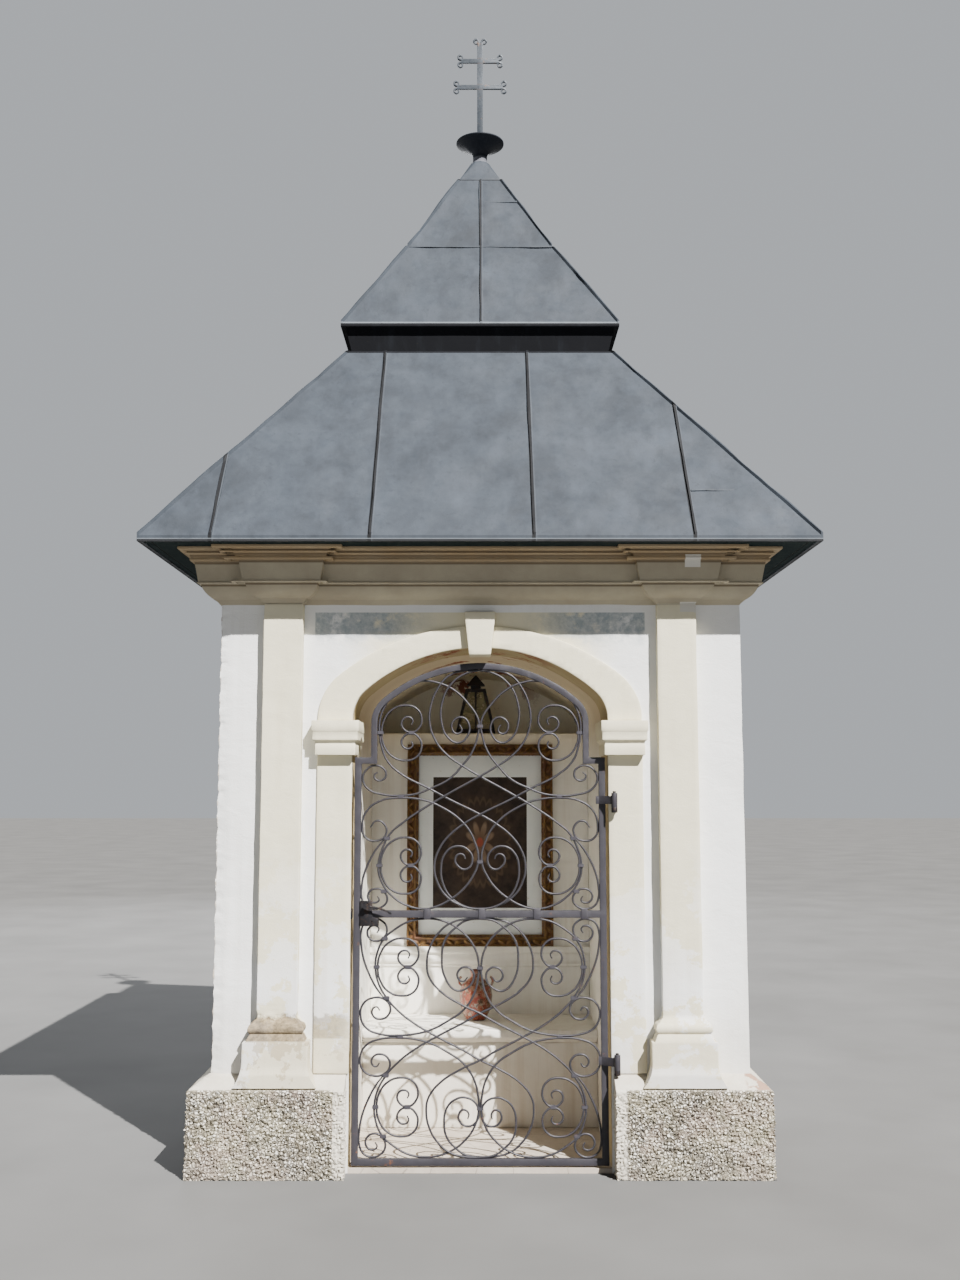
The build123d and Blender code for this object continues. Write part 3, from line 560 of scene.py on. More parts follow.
def niche_colour(place):
    """The wash inside the niche, with a yellow-brown painted shade in the vault, and peeled red patches at
    the crown.
    """
    tint = bpy.context.scene.shrine_colours.niche
    x, y, z = parts(place)
    now = blotches(place, 2.4, darker(tint, 0.93), tint)
    low = use("damp", place, Level=0.25, Reach=0.35, Raggedness=0.5)
    now = mix(low * 0.4, now, (0.47, 0.40, 0.31))
    # Painted shade: the vault and upper niche turn yellow-brown, darkest towards the front
    vault_shade_tint = mix(fade(y, -0.6, 0.15), (0.52, 0.42, 0.26), (0.98, 0.89, 0.70))
    now = mix(fade(z, 1.66, 1.90) * 0.85, now, vault_shade_tint)
    now = mix(use("runs", place) * 0.35, now, (0.40, 0.31, 0.21))
    peeled = use("patches", place, Scale=5.0, Amount=0.44)
    crown = fade(z, 1.98, 2.1) * band(x, 0.02, 0.35, 0.15)
    return mix(peeled * crown, now, (0.27, 0.10, 0.06))


def masonry_paint(place):
    """Lime wash outside, a dark yellow-brown painted shade in the doorway, an off-white wash in the niche."""
    tints = bpy.context.scene.shrine_colours
    x, y, z = parts(place)
    across = abs(x)
    now = blotches(place, 1.6, darker(tints.limewash, 0.93), tints.limewash)
    now = mix(use("runs", place) * 0.22, now, (0.52, 0.49, 0.43))
    damp = use("damp", place, Level=0.37, Reach=0.42, Raggedness=0.75)
    now = mix(damp * 0.5, now, (0.56, 0.53, 0.47))
    # Ivory that fades into the white round the arch, and bluish grey old plaster high in the spandrels,
    # darkened and blued as painted shade from the eaves
    front = fade(y, -1.09, -1.10)
    wander = noise_at(place, 7.0, 7.0, 0.7)
    sunk = fade(z, 2.329, 2.327)
    arch = fade(z, 1.80, 1.98) * fade(across + (wander - 0.5) * 0.22, 0.60, 0.40) * sunk
    now = mix(arch * front, now, tints.ivory)
    high = fade(z, 2.17, 2.25) * sunk
    near = fade(across, 0.712, 0.708) * fade(across, 0.18, 0.40)
    patch = fade(wander + high * 0.12, 0.50, 0.60)
    mottle = fade(noise_at(place, 34.0, 6.0, 0.75), 0.40, 0.62)
    # Painted shade: the old plaster patches under the eaves are darker and bluer than the plaster itself
    old_plaster_and_shade = mix(mottle, (0.28, 0.33, 0.37), (0.50, 0.53, 0.53))
    now = mix(high * near * patch * front * 0.9, now, old_plaster_and_shade)
    # Bare mortar where the left corner is worn
    corner = fade(x, -1.108, -1.116) * fade(y, -1.10, -1.112)
    crumbled = fade(noise_at(place, 16.0, 6.0, 0.7), 0.47, 0.52)
    now = mix(corner * crumbled, now, (0.40, 0.33, 0.25))
    # The doorway's sides and soffit: dark yellow-brown painted shade over the cream wash, with peeled brown
    # patches at the crown
    shaded_reveal = blotches(place, 3.0, (0.37, 0.295, 0.165), (0.46, 0.38, 0.225))
    crown = fade(z, 2.02, 2.16) * fade(across, 0.36, 0.24)
    peeled = use("patches", place, Scale=6.5, Amount=0.47)
    brown = mix(fade(noise_at(place, 11.0), 0.45, 0.55), (0.27, 0.10, 0.055), (0.36, 0.24, 0.15))
    shaded_reveal = mix(peeled * crown, shaded_reveal, brown)
    in_doorway = fade(y, -1.1185, -1.117) * fade(y, -0.79, -0.81) * fade(across, 0.56, 0.555)
    now = mix(in_doorway, now, shaded_reveal)
    inside = fade(across, 0.62, 0.6) * fade(y, -0.823, -0.82) * fade(y, 0.62, 0.6)
    now = mix(inside, now, niche_colour(place))
    relief = use("trowel", place, Grain=170.0, Grain_Amount=0.3)
    rough = fade(noise_at(place, 30.0), 0.3, 0.7, 0.82, 0.95)
    return {"Base Color": now, "Roughness": rough, "Relief": (relief, 0.006, 0.55)}


def niche_paint(place):
    """The wash of the vault, the back of the niche and the altar."""
    relief = use("trowel", place, Grain=150.0, Grain_Amount=0.25)
    return {"Base Color": niche_colour(place), "Relief": (relief, 0.005, 0.5)}


def ivory_paint(place):
    """Ivory paint on run mouldings, worn through to white near the ground."""
    tints = bpy.context.scene.shrine_colours
    x, y, z = parts(place)
    now = blotches(place, 2.8, darker(tints.ivory, 0.90), tints.ivory)
    worn = use("patches", place, Scale=3.4, Amount=0.50) * fade(z, 1.35, 0.75)
    now = mix(worn, now, darker(tints.limewash, 0.93))
    damp = use("damp", place, Level=0.40, Reach=0.40, Raggedness=0.6)
    now = mix(damp * 0.45, now, (0.52, 0.47, 0.38))
    # Weathered base of the left pilaster, crumbled to brown stone, with stains on the pedestal below
    left = fade(x, -0.5, -0.6) * fade(y, -1.125, -1.135)
    height = z + (noise_at(place, 16.0, 6.0, 0.75) - 0.5) * 0.10
    ledge = fade(z, 0.538, 0.546) * fade(height, 0.645, 0.628)
    grit = fade(noise_at(place, 48.0, 6.0, 0.75), 0.36, 0.64)
    now = mix(ledge * left * 0.92, now, mix(grit, (0.075, 0.052, 0.026), (0.27, 0.205, 0.12)))
    stains = fade(z, 0.546, 0.54) * left * use("patches", place, Scale=7.0, Amount=0.46)
    now = mix(stains * 0.6, now, (0.34, 0.27, 0.17))
    now = mix(use("runs", place) * 0.25, now, (0.48, 0.40, 0.28))
    # The cornice is darkened and browned, most on its upper members, as painted shade under the eaves over an
    # older, browner paint, with painted shade lines in its quirks
    coat_and_shade = fade(noise_at(place, 3.2, 5.0, 0.6), 0.35, 0.65, 0.66, 0.88)
    now = mix(fade(z, 2.352, 2.362) * coat_and_shade, now, (0.285, 0.245, 0.18))
    # Painted shade: the upper members right under the eave are darker still
    upper = fade(z, 2.525, 2.535) * fade(noise_at(place, 6.0, 6.0), 0.3, 0.6, 0.6, 0.9)
    now = mix(upper, now, (0.34, 0.245, 0.14))
    # Painted shade: dark lines in the quirks of the profile, where the mouldings overhang
    for level, half in ((2.4345, 0.0035), (2.5265, 0.0045), (2.5555, 0.003), (2.5700, 0.003)):
        now = mix(band(z, level, half * 1.5, half * 0.6) * 0.75, now, (0.12, 0.085, 0.05))
    mends = ((0.898, 2.528, 0.034, 0.026), (0.890, 2.345, 0.036, 0.022), (0.945, 2.338, 0.030, 0.018))
    for right, centre, half_width, half_height in mends:
        off = (abs(x - right) / half_width).math("MAXIMUM", abs(z - centre) / half_height)
        now = mix(fade(off, 1.0, 0.93) * fade(y, -1.0, -1.1), now, (0.66, 0.64, 0.58))
    relief = use("trowel", place, Grain=190.0, Grain_Amount=0.35)
    rough = fade(noise_at(place, 26.0), 0.3, 0.7, 0.78, 0.92)
    return {"Base Color": now, "Roughness": rough, "Relief": (relief, 0.0045, 0.5)}


def pebble_paint(place):
    """Stones of several browns and greys in mortar."""
    mortar = bpy.context.scene.shrine_colours.mortar
    cell_scale = 78.0
    x, y, z = parts(place)
    whole_cells = {"Vector": place, "Scale": cell_scale, "Randomness": 1.0}
    cells = put(place.tree, "ShaderNodeTexVoronoi", whole_cells, 1)
    edges = cracks(place, cell_scale)
    pick = put(place.tree, "ShaderNodeSeparateColor", {"Color": cells})
    stones = put(place.tree, "ShaderNodeValToRGB", {"Fac": pick})
    ramp = stones.socket.node.color_ramp
    stops = (
        (0.0, (0.10, 0.085, 0.065)), (0.25, (0.30, 0.26, 0.20)), (0.5, (0.68, 0.63, 0.53)),
        (0.8, (0.82, 0.78, 0.69)), (1.0, (0.88, 0.86, 0.80)),
    )
    for position, tint in stops[1:-1]:
        ramp.elements.new(position)
    for element, (position, tint) in zip(ramp.elements, stops):
        element.position = position
        element.color = (*tint, 1.0)
    # Painted shade in the crevices: the mortar between the stones is darkened to a fifth of its colour
    now = mix(fade(edges, 0.05, 0.22), darker(mortar, 0.22), stones)
    now = mix(fade(noise_at(place, 4.0, 5.0, 0.6), 0.4, 0.6) * 0.35, now, (0.62, 0.57, 0.40))
    rosy = fade(noise_at(place, 5.5, 5.0, 0.6, 0.3), 0.5, 0.62)
    now = mix(rosy * 0.3, now, (0.50, 0.38, 0.33))
    # Smooth mortar on the slope and the door reveals
    slope = fade(z, 0.350, 0.354)
    smooth = slope.math("MAXIMUM", fade(abs(x), 0.602, 0.596) * fade(y, -1.0, -1.02))
    now = mix(smooth, now, blotches(place, 6.0, (0.52, 0.48, 0.40), (0.66, 0.62, 0.54)))
    # Reddish chipped mark on the slope at the right
    chip = band(x, 1.145, 0.055, 0.045) * slope * fade(y, -1.10, -1.12)
    chip = chip * fade(noise_at(place, 14.0, 5.0), 0.46, 0.5)
    now = mix(chip * 0.8, now, (0.30, 0.15, 0.09))
    ground = use("damp", place, Level=0.0, Reach=0.12, Raggedness=0.12)
    now = mix(ground * 0.35, now, (0.30, 0.27, 0.22))
    height = fade(edges, 0.0, 0.25) * (1.0 - smooth) + noise_at(place, 420.0, 3.0, 0.7) * 0.25
    return {"Base Color": now, "Relief": (height, 0.006, 0.8)}


def sheet_paint(place):
    """Grey paint on sheet metal, gone cloudy and chalky, with a painted highlight along the eaves."""
    tint = bpy.context.scene.shrine_colours.sheet
    x, y, z = parts(place)
    now = blotches(place, 1.7, darker(tint, 0.72), darker(tint, 1.12))
    washed = noise_at(stretched(place, (9.0, 9.0, 1.3)), 1.0, 7.0, 0.62)
    now = mix(fade(washed, 0.42, 0.70) * 0.5, now, darker(tint, 1.8))
    now = mix(fade(noise_at(place, 3.1, 8.0, 0.66, 0.25), 0.48, 0.68) * 0.38, now, darker(tint, 1.9))
    now = mix(fade(noise_at(place, 30.0, 6.0, 0.75, 0.5), 0.56, 0.68) * 0.45, now, darker(tint, 0.62))
    # Painted shade on the faces of both eave edges
    reach = abs(x).math("MAXIMUM", abs(y))
    drip_shade = fade(reach, 1.399, 1.402) * fade(z, 2.595, 2.594)
    upper_drip_shade = fade(reach, 0.64, 0.643) * fade(z, 3.7885, 3.7865) * fade(z, 3.76, 3.765)
    now = mix(drip_shade.math("MAXIMUM", upper_drip_shade), now, (0.012, 0.013, 0.016))
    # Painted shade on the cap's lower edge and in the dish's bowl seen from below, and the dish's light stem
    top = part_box("upper_roof")[1].z
    now = mix(band(z, top - 0.003, 0.0042, 0.002), now, (0.004, 0.005, 0.007))
    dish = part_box("finial_dish")[0].z
    stem = fade(z, dish, dish + 0.001) * fade(z, dish + 0.040, dish + 0.030)
    now = mix(stem, now, (0.10, 0.105, 0.125))
    now = mix(fade(z, dish + 0.032, dish + 0.042), now, (0.006, 0.009, 0.016))
    # Painted shadow along one side of the folded seams, and a painted highlight on the other
    facing_x = abs(x).math("GREATER_THAN", abs(y))
    along = y * x.math("SIGN") * facing_x + x * (y * -1.0).math("SIGN") * (1.0 - facing_x)
    lower = fade(z, 3.67, 3.66)
    upper = fade(z, 3.785, 3.79) * fade(z, top - 0.003, top - 0.006)
    seams = [(centre, lower, 0.0088) for centre in (-1.109, -0.452, 0.226, 0.890)] + [(0.0066, upper, 0.006)]
    for centre, tier, width in seams:
        off = along - centre
        now = mix(band(off, 0.0066, 0.0034, 0.0015) * tier * 0.35, now, (0.075, 0.085, 0.10))
        now = mix(band(off, -0.004, width, width - 0.002) * tier, now, (0.0035, 0.0042, 0.006))
    # Painted highlight along the top edges of both eaves, and the dark neck between the roofs
    line = fade(z, 2.594, 2.595) * fade(z, 2.599, 2.597) * fade(reach, 1.39, 1.40)
    upper_eave_highlight = fade(z, 3.7865, 3.788) * fade(z, 3.7955, 3.794) * fade(reach, 0.65, 0.655)
    now = mix(line.math("MAXIMUM", upper_eave_highlight) * 0.55, now, (0.20, 0.23, 0.26))
    neck = fade(z, 3.785, 3.78) * fade(z, 3.6475, 3.6495)
    now = mix(neck, now, (0.0025, 0.003, 0.005))
    now = mix(use("runs", place) * 0.35, now, darker(tint, 0.55))
    rough = fade(noise_at(place, 9.0, 5.0, 0.65), 0.35, 0.65, 0.55, 0.8).math("MAXIMUM", neck)
    height = noise_at(place, 150.0, 3.0, 0.6) * 0.10 + noise_at(place, 4.0, 4.0, 0.5)
    return {"Base Color": now, "Roughness": rough, "Relief": (height, 0.010, 0.5)}


def soffit_paint(place):
    """Greenish grey boards under the eaves, with joints between them."""
    x, y, z = parts(place)
    board = (abs(x).math("MAXIMUM", abs(y)) * 11.0).math("FRACT")
    joint = fade(board, 0.0, 0.05) * fade(board, 1.0, 0.95)
    grain = noise_at(stretched(place, (3.0, 3.0, 40.0)), 6.0, 6.0, 0.7, 1.2)
    tone = mix(fade(grain, 0.35, 0.65), (0.010, 0.018, 0.020), (0.022, 0.032, 0.032))
    now = mix(joint, (0.015, 0.015, 0.013), tone)
    return {"Base Color": now, "Relief": (joint + grain * 0.2, 0.004, 0.6)}


def gate_paint(place, share=1.0):
    """Violet grey paint over forged iron, rubbed pale on its high spots, with a little rust."""
    tint = darker(bpy.context.scene.shrine_colours.gate, share)
    edge = put(place.tree, "ShaderNodeNewGeometry", out="Pointiness")
    now = blotches(place, 14.0, darker(tint, 0.85), darker(tint, 1.15))
    now = mix(fade(edge, 0.53, 0.62) * 0.5, now, darker(tint, 1.8))
    rust = fade(noise_at(place, 21.0, 8.0, 0.75), 0.62, 0.66)
    low = fade(parts(place)[2], 0.9, 0.05, 0.25, 0.8)
    now = mix(rust * low, now, (0.16, 0.065, 0.03))
    dents = noise_at(place, 55.0, 4.0, 0.6)
    rough = fade(dents, 0.35, 0.65, 0.40, 0.60)
    return {"Base Color": now, "Roughness": rough, "Relief": (dents, 0.0016, 0.6)}


def bar_paint(place):
    """The gate's paint, a little darker on the scrolls: painted shade for the thin bars."""
    return gate_paint(place, 0.85)


def iron_paint(place):
    """Blackened forged iron with brown rust in its hollows."""
    scale = noise_at(place, 46.0, 6.0, 0.7)
    now = mix(fade(scale, 0.5, 0.62), bpy.context.scene.shrine_colours.iron, (0.055, 0.036, 0.028))
    rough = fade(scale, 0.35, 0.65, 0.40, 0.72)
    return {"Base Color": now, "Roughness": rough, "Relief": (noise_at(place, 90.0, 3.0, 0.5), 0.0015, 0.7)}


def cross_paint(place):
    """Light grey paint, with painted shade where the bars cross the post."""
    tint = bpy.context.scene.shrine_colours.cross
    x, y, z = parts(place)
    now = blotches(place, 11.0, darker(tint, 0.82), darker(tint, 1.12))
    # Painted shade just above and below each bar where it crosses the post
    gaps = [abs(z - (bar + off)) for bar in (5.356, 5.506) for off in (-0.014, 0.014)]
    nearest = gaps[0].math("MINIMUM", gaps[1]).math("MINIMUM", gaps[2].math("MINIMUM", gaps[3]))
    now = mix(fade(nearest, 0.0042, 0.003) * fade(abs(x), 0.017, 0.0155) * 0.8, now, (0.05, 0.045, 0.05))
    rust = fade(noise_at(place, 26.0, 7.0, 0.7), 0.60, 0.65)
    now = mix(rust * 0.6, now, (0.20, 0.11, 0.06))
    wear = noise_at(place, 70.0, 4.0)
    return {"Base Color": now, "Roughness": fade(wear, 0.3, 0.7, 0.4, 0.65), "Relief": (wear, 0.001, 0.5)}


def gilt_paint(place):
    """Antique gold leaf rubbed through to red clay and dark wood in the hollows."""
    edge = put(place.tree, "ShaderNodeNewGeometry", out="Pointiness")
    leaf = noise_at(place, 30.0, 6.0, 0.7)
    high = fade(edge, 0.44, 0.56) * fade(leaf, 0.62, 0.42)
    dark = mix(fade(leaf, 0.4, 0.6), (0.055, 0.028, 0.014), (0.11, 0.045, 0.02))
    now = mix(high, dark, bpy.context.scene.shrine_colours.gilding)
    rough = fade(leaf, 0.3, 0.7, 0.38, 0.62)
    return {"Base Color": now, "Metallic": high * 0.75, "Roughness": rough, "Relief": (leaf, 0.0012, 0.6)}


def mat_paint(place):
    """Pale blue grey card with a fine tooth and brown spots."""
    now = mix(fade(noise_at(place, 6.0, 4.0), 0.35, 0.65), (0.74, 0.79, 0.80), (0.80, 0.84, 0.85))
    now = mix(fade(noise_at(place, 60.0, 4.0, 0.6), 0.66, 0.70) * 0.4, now, (0.42, 0.36, 0.26))
    return {"Base Color": now, "Relief": (noise_at(place, 700.0, 3.0, 0.7), 0.0003, 0.5)}


def print_paint(place):
    """A dark brown print: a pale rosette within an oval of leaves, on a plain field."""
    x, y, z = parts(place)
    low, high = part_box("picture_print")
    middle = (low + high) / 2
    across = (x - middle.x) / 0.19
    up = (z - middle.z) / 0.27
    reach = (across.math("POWER", 2.0) + up.math("POWER", 2.0)).math("SQRT")
    turn = across.math("ARCTAN2", up)
    petals = abs((turn * 4.0).math("SINE")) * 0.24 + 0.16
    leaves = abs((turn * 14.0).math("SINE")) * 0.11 + 0.70
    tone = fade(noise_at(place, 16.0, 6.0, 0.65), 0.32, 0.68)
    now = mix(tone, (0.012, 0.007, 0.005), (0.050, 0.032, 0.022))
    now = mix(fade(reach, 1.1, 0.1) * 0.55, now, (0.085, 0.052, 0.034))
    shaded = mix(fade(reach, 0.08, 0.42), (0.13, 0.075, 0.045), (0.30, 0.21, 0.14))
    now = mix(fade(petals - reach, -0.02, 0.06) * 0.85, now, shaded)
    now = mix(fade(reach, 0.10, 0.07), now, (0.30, 0.07, 0.04))
    now = mix(band(reach, leaves, 0.06, 0.02) * 0.4, now, (0.13, 0.085, 0.05))
    return {"Base Color": now, "Relief": (noise_at(place, 900.0, 2.0, 0.5), 0.0002, 0.4)}


def glass_paint(place):
    """Old greenish glass, dusty towards its corners."""
    dust = fade(noise_at(place, 24.0, 6.0, 0.65), 0.42, 0.62)
    now = mix(dust, (0.23, 0.225, 0.13), (0.29, 0.245, 0.15))
    rough = fade(dust, 0.0, 1.0, 0.10, 0.35)
    return {"Base Color": now, "Roughness": rough, "Relief": (noise_at(place, 18.0, 2.0), 0.002, 0.3)}


def glaze_paint(place):
    """Red glaze that has run over orange, with pale and dark specks and dark handles."""
    x, y, z = parts(place)
    clouds = noise_at(place, 26.0, 5.0, 0.6, 1.4)
    now = mix(fade(clouds, 0.42, 0.58), bpy.context.scene.shrine_colours.glaze, (0.27, 0.13, 0.08))
    now = mix(fade(noise_at(place, 34.0, 5.0, 0.6, 0.8), 0.53, 0.58) * 0.7, now, (0.30, 0.27, 0.215))
    now = mix(fade(noise_at(place, 44.0, 6.0, 0.7), 0.54, 0.60) * 0.85, now, (0.045, 0.030, 0.014))
    handles = fade(abs(x + 0.02), 0.060, 0.066) * fade(z, 1.005, 1.02)
    now = mix(handles, now, (0.045, 0.035, 0.03))
    return {"Base Color": now, "Relief": (clouds, 0.0012, 0.4)}


def floor_paint(place):
    """Trodden lime screed with sand and hair cracks."""
    line = fade(cracks(place, 4.5), 0.008, 0.003)
    now = blotches(place, 3.5, (0.40, 0.34, 0.28), (0.53, 0.47, 0.40))
    now = mix(line * 0.6, now, (0.18, 0.15, 0.12))
    return {"Base Color": now, "Relief": (noise_at(place, 240.0, 4.0, 0.7) - line, 0.0025, 0.5)}


def studio_paint(place):
    """Pale matt studio floor with a fine grain."""
    now = mix(fade(noise_at(place, 1.2, 3.0), 0.3, 0.7), (0.125, 0.125, 0.124), (0.15, 0.15, 0.149))
    return {"Base Color": now, "Relief": (noise_at(place, 160.0, 3.0), 0.0006, 0.3)}


def make_finishes():
    """Every material, once."""
    for key, name, paint, shader in (
        ("masonry", "Lime washed render", masonry_paint, {"Specular_IOR_Level": 0.2}),
        ("niche", "Niche wash", niche_paint, {"Roughness": 0.9, "Specular_IOR_Level": 0.2}),
        ("ivory", "Ivory painted plaster", ivory_paint, {"Specular_IOR_Level": 0.25}),
        ("pebble", "Thrown render", pebble_paint, {"Roughness": 0.9, "Specular_IOR_Level": 0.25}),
        ("sheet", "Painted sheet metal", sheet_paint, {"Metallic": 0.0, "Specular_IOR_Level": 0.3}),
        ("soffit", "Eaves boards", soffit_paint, {"Roughness": 0.95, "Specular_IOR_Level": 0.08}),
        ("gate", "Painted forged iron", gate_paint, {"Metallic": 0.1, "Specular_IOR_Level": 0.35}),
        ("bars", "Painted scroll bars", bar_paint, {"Metallic": 0.3, "Specular_IOR_Level": 0.6}),
        ("iron", "Blackened iron", iron_paint, {"Metallic": 0.7}),
        ("cross", "Cross paint", cross_paint, {"Metallic": 0.25}),
        ("gilt", "Antique gilding", gilt_paint, {}),
        ("mat", "Picture mat", mat_paint, {"Roughness": 0.92, "Specular_IOR_Level": 0.2}),
        ("print", "Dark print", print_paint, {"Roughness": 0.55, "Specular_IOR_Level": 0.3}),
        ("glass", "Old glass", glass_paint, {"Transmission_Weight": 0.35, "IOR": 1.5}),
        ("glaze", "Red glaze", glaze_paint, {"Roughness": 0.22, "Coat_Weight": 0.4, "Coat_Roughness": 0.1}),
        ("floor", "Lime screed", floor_paint, {"Roughness": 0.9}),
        ("studio", "Studio floor", studio_paint, {"Roughness": 0.85, "Specular_IOR_Level": 0.2}),
    ):
        materials[key] = finish(name, paint, **shader)


# Pieces


class SHRINE_OT_studio(bpy.types.Operator):
    """Set up the camera, the soft lights and the floor"""

    bl_idname = "shrine.studio"
    bl_label = "Studio"

    def execute(self, context):
        sizes = context.scene.shrine_studio
        camera = bpy.data.cameras.new("Camera")
        camera.sensor_width = 36
        camera.lens = sizes.lens
        viewer = new_object("Camera", camera)
        viewer.location = (0, -sizes.distance, sizes.eye)
        viewer.rotation_euler = (math.radians(90) + sizes.pitch, 0, 0)
        context.scene.camera = viewer
        target = Vector((0, 0, 1.9))
        for name, place, width, power, tint in (
            ("Key", (5.1, -7.5, 11.0), 0, sizes.key, (1.0, 0.975, 0.94)),
            ("Front", (-0.8, -9.0, 1.1), 2.6, sizes.panels, (0.78, 0.88, 1.0)),
            ("Side", (-9.0, 2.5, 4.5), 5.0, sizes.panels * 6.0, (0.90, 0.95, 1.0)),
            ("Back", (-2.5, 11.0, 6.5), 6.0, sizes.panels * 24.0, (0.95, 0.97, 1.0)),
        ):
            lamp = bpy.data.lights.new(name, "AREA" if width else "SUN")
            lamp.energy = power
            lamp.color = tint
            if width:
                lamp.size = width
            else:
                lamp.angle = sizes.softness
            holder = new_object(name, lamp)
            holder.location = place
            holder.rotation_euler = (target - holder.location).to_track_quat("-Z", "Y").to_euler()
        world = bpy.data.worlds.new("Studio")
        world.use_nodes = True
        background = world.node_tree.nodes["Background"]
        background.inputs["Color"].default_value = (0.86, 0.90, 0.95, 1)
        seen = put(world.node_tree, "ShaderNodeLightPath", out="Is Camera Ray")
        light = fade(seen, 0.0, 1.0, sizes.fill, sizes.backdrop)
        world.node_tree.links.new(light.socket, background.inputs["Strength"])
        context.scene.world = world
        bm = bmesh.new()
        below = Matrix.Translation((0, 0, -0.0005))
        bmesh.ops.create_grid(bm, x_segments=2, y_segments=2, size=60, matrix=below)
        ground = new_object("Studio_floor", bm)
        ground.data.materials.append(materials["studio"])
        return {"FINISHED"}


def united(name, nodes):
    """Several solids joined into one shell."""
    first, *others = [new_object(node + "_copy", cad_copy(node)) for node in nodes]
    together = bpy.data.collections.new("others")
    for other in others:
        together.objects.link(other)
    join = first.modifiers.new("Join", "BOOLEAN")
    join.operation = "UNION"
    join.operand_type = "COLLECTION"
    join.collection = together
    join.solver = "EXACT"
    mesh = evaluated_mesh(first)
    for made in (first, *others):
        discard(made)
    bpy.data.collections.remove(together)
    bm = bmesh.new()
    bm.from_mesh(mesh)
    bpy.data.meshes.remove(mesh)
    bmesh.ops.remove_doubles(bm, verts=bm.verts, dist=0.05 * MM)
    bmesh.ops.dissolve_limit(bm, angle_limit=math.radians(0.5), verts=bm.verts, edges=bm.edges)
    return new_object(name, bm)


class SHRINE_OT_walls(bpy.types.Operator):
    """Render the walls with hand-floated lime plaster, chipped at the left corner"""

    bl_idname = "shrine.walls"
    bl_label = "Walls"

    def execute(self, context):
        sizes = context.scene.shrine_render
        nodes = ("front_arch_wall", "front_pier_left", "front_pier_right")
        nodes += ("left_wall", "right_wall", "back_wall")
        corner_x, corner_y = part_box("left_wall")[0].x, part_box("front_pier_left")[0].y
        worn_reach = 0.05

        def gap_to_corner(place):
            return math.hypot(place.x - corner_x, place.y - corner_y)

        def plastered(bm):
            cut_in_cells(bm, sizes.cell)
            cut_in_cells(bm, 0.010, lambda face: gap_to_corner(face.calc_center_median()) < 0.06)
            roughen(bm, sizes.unevenness, 0.16)
            for vert in bm.verts:
                gap = gap_to_corner(vert.co)
                if gap < worn_reach:
                    worn = ripple(Vector((0, 0, vert.co.z)), 0.055, 4) * 0.5 + 0.55
                    torn = ripple(vert.co, 0.02, 3) * 0.25 + 0.75
                    depth = sizes.chip * max(0.12, worn) * torn * (1 - gap / worn_reach)
                    vert.co.x += depth
                    vert.co.y += depth

        settle(edited(united("walls", nodes), plastered, 40), "masonry", nodes)
        return {"FINISHED"}


class SHRINE_OT_plinth(bpy.types.Operator):
    """Cover the plinth with thrown render"""

    bl_idname = "shrine.plinth"
    bl_label = "Plinth"

    def execute(self, context):
        sizes = context.scene.shrine_render
        edge_height, wall_face = 0.347, 1.13

        def rough_face(face):
            centre = face.calc_center_median()
            shown = max(abs(centre.x), abs(centre.y)) >= wall_face
            return abs(face.normal.z) < 0.2 and centre.z < edge_height and shown

        def thrown(bm):
            geometry = [*bm.verts, *bm.edges, *bm.faces]
            edge = Vector((0, 0, edge_height))
            bmesh.ops.bisect_plane(bm, geom=geometry, dist=1e-6, plane_co=edge, plane_no=(0, 0, 1))
            cut_in_cells(bm, 0.03)
            cut_in_cells(bm, cell, rough_face)
            bm.normal_update()
            marked = {v for f in bm.faces if rough_face(f) for v in f.verts}
            for vert in bm.verts:
                if vert in marked:
                    near, far = noise.voronoi(vert.co / sizes.pebble)[0][:2]
                    dome = min(1.0, (far - near) * 1.6) ** 0.5
                    lump = ripple(vert.co, 0.05, 2) * 0.35
                    fading = max(0.0, min(1.0, (edge_height - vert.co.z) / 0.012))
                    vert.co += vert.normal * ((dome - 0.55 + lump) * sizes.pebble_relief * fading)
                elif vert.co.z > 0.01:
                    vert.co += vert.normal * (ripple(vert.co, 0.09, 3) * 0.0022)
                vert.co.z = max(vert.co.z, 0.0)

        for side in ("front_left", "front_right", "left", "right", "back"):
            node = "plinth_" + side
            cell = sizes.front_cell if side.startswith("front") else sizes.side_cell
            plinth = new_object(node + "_render", cad_copy(node))
            settle(edited(plinth, thrown, 50), "pebble", [node])
        return {"FINISHED"}


def flush_foot(bm):
    """Bring the flare of a pedestal back to the face of the plinth."""
    for vert in bm.verts:
        if vert.co.z < 0.5:
            vert.co.y = max(vert.co.y, -1.2178)


def worn_base(bm):
    """Knock the edges off the left pilaster's base."""
    flush_foot(bm)
    for vert in bm.verts:
        if 0.55 < vert.co.z < 0.69 and vert.co.y < -1.125:
            bite = max(0.0, ripple(vert.co, 0.035, 4) * 0.5 + 0.35)
            share = bite * max(0.0, 1 - abs(vert.co.z - 0.625) / 0.07)
            centre = Vector((-0.84, -1.11, vert.co.z))
            vert.co += (centre - vert.co).normalized() * (0.016 * share)


class SHRINE_OT_pilasters(bpy.types.Operator):
    """Finish the pilasters, the left one with a worn base"""

    bl_idname = "shrine.pilasters"
    bl_label = "Pilasters"

    def execute(self, context):
        for node, cell, uneven, fix in (
            ("pilaster_left", 0.016, 0.0016, worn_base), ("pilaster_right", 0.022, 0.0014, flush_foot)
        ):
            dressed(node + "_plaster", [node], "ivory", edge=0.005, cell=cell, uneven=uneven, fix=fix)
        return {"FINISHED"}


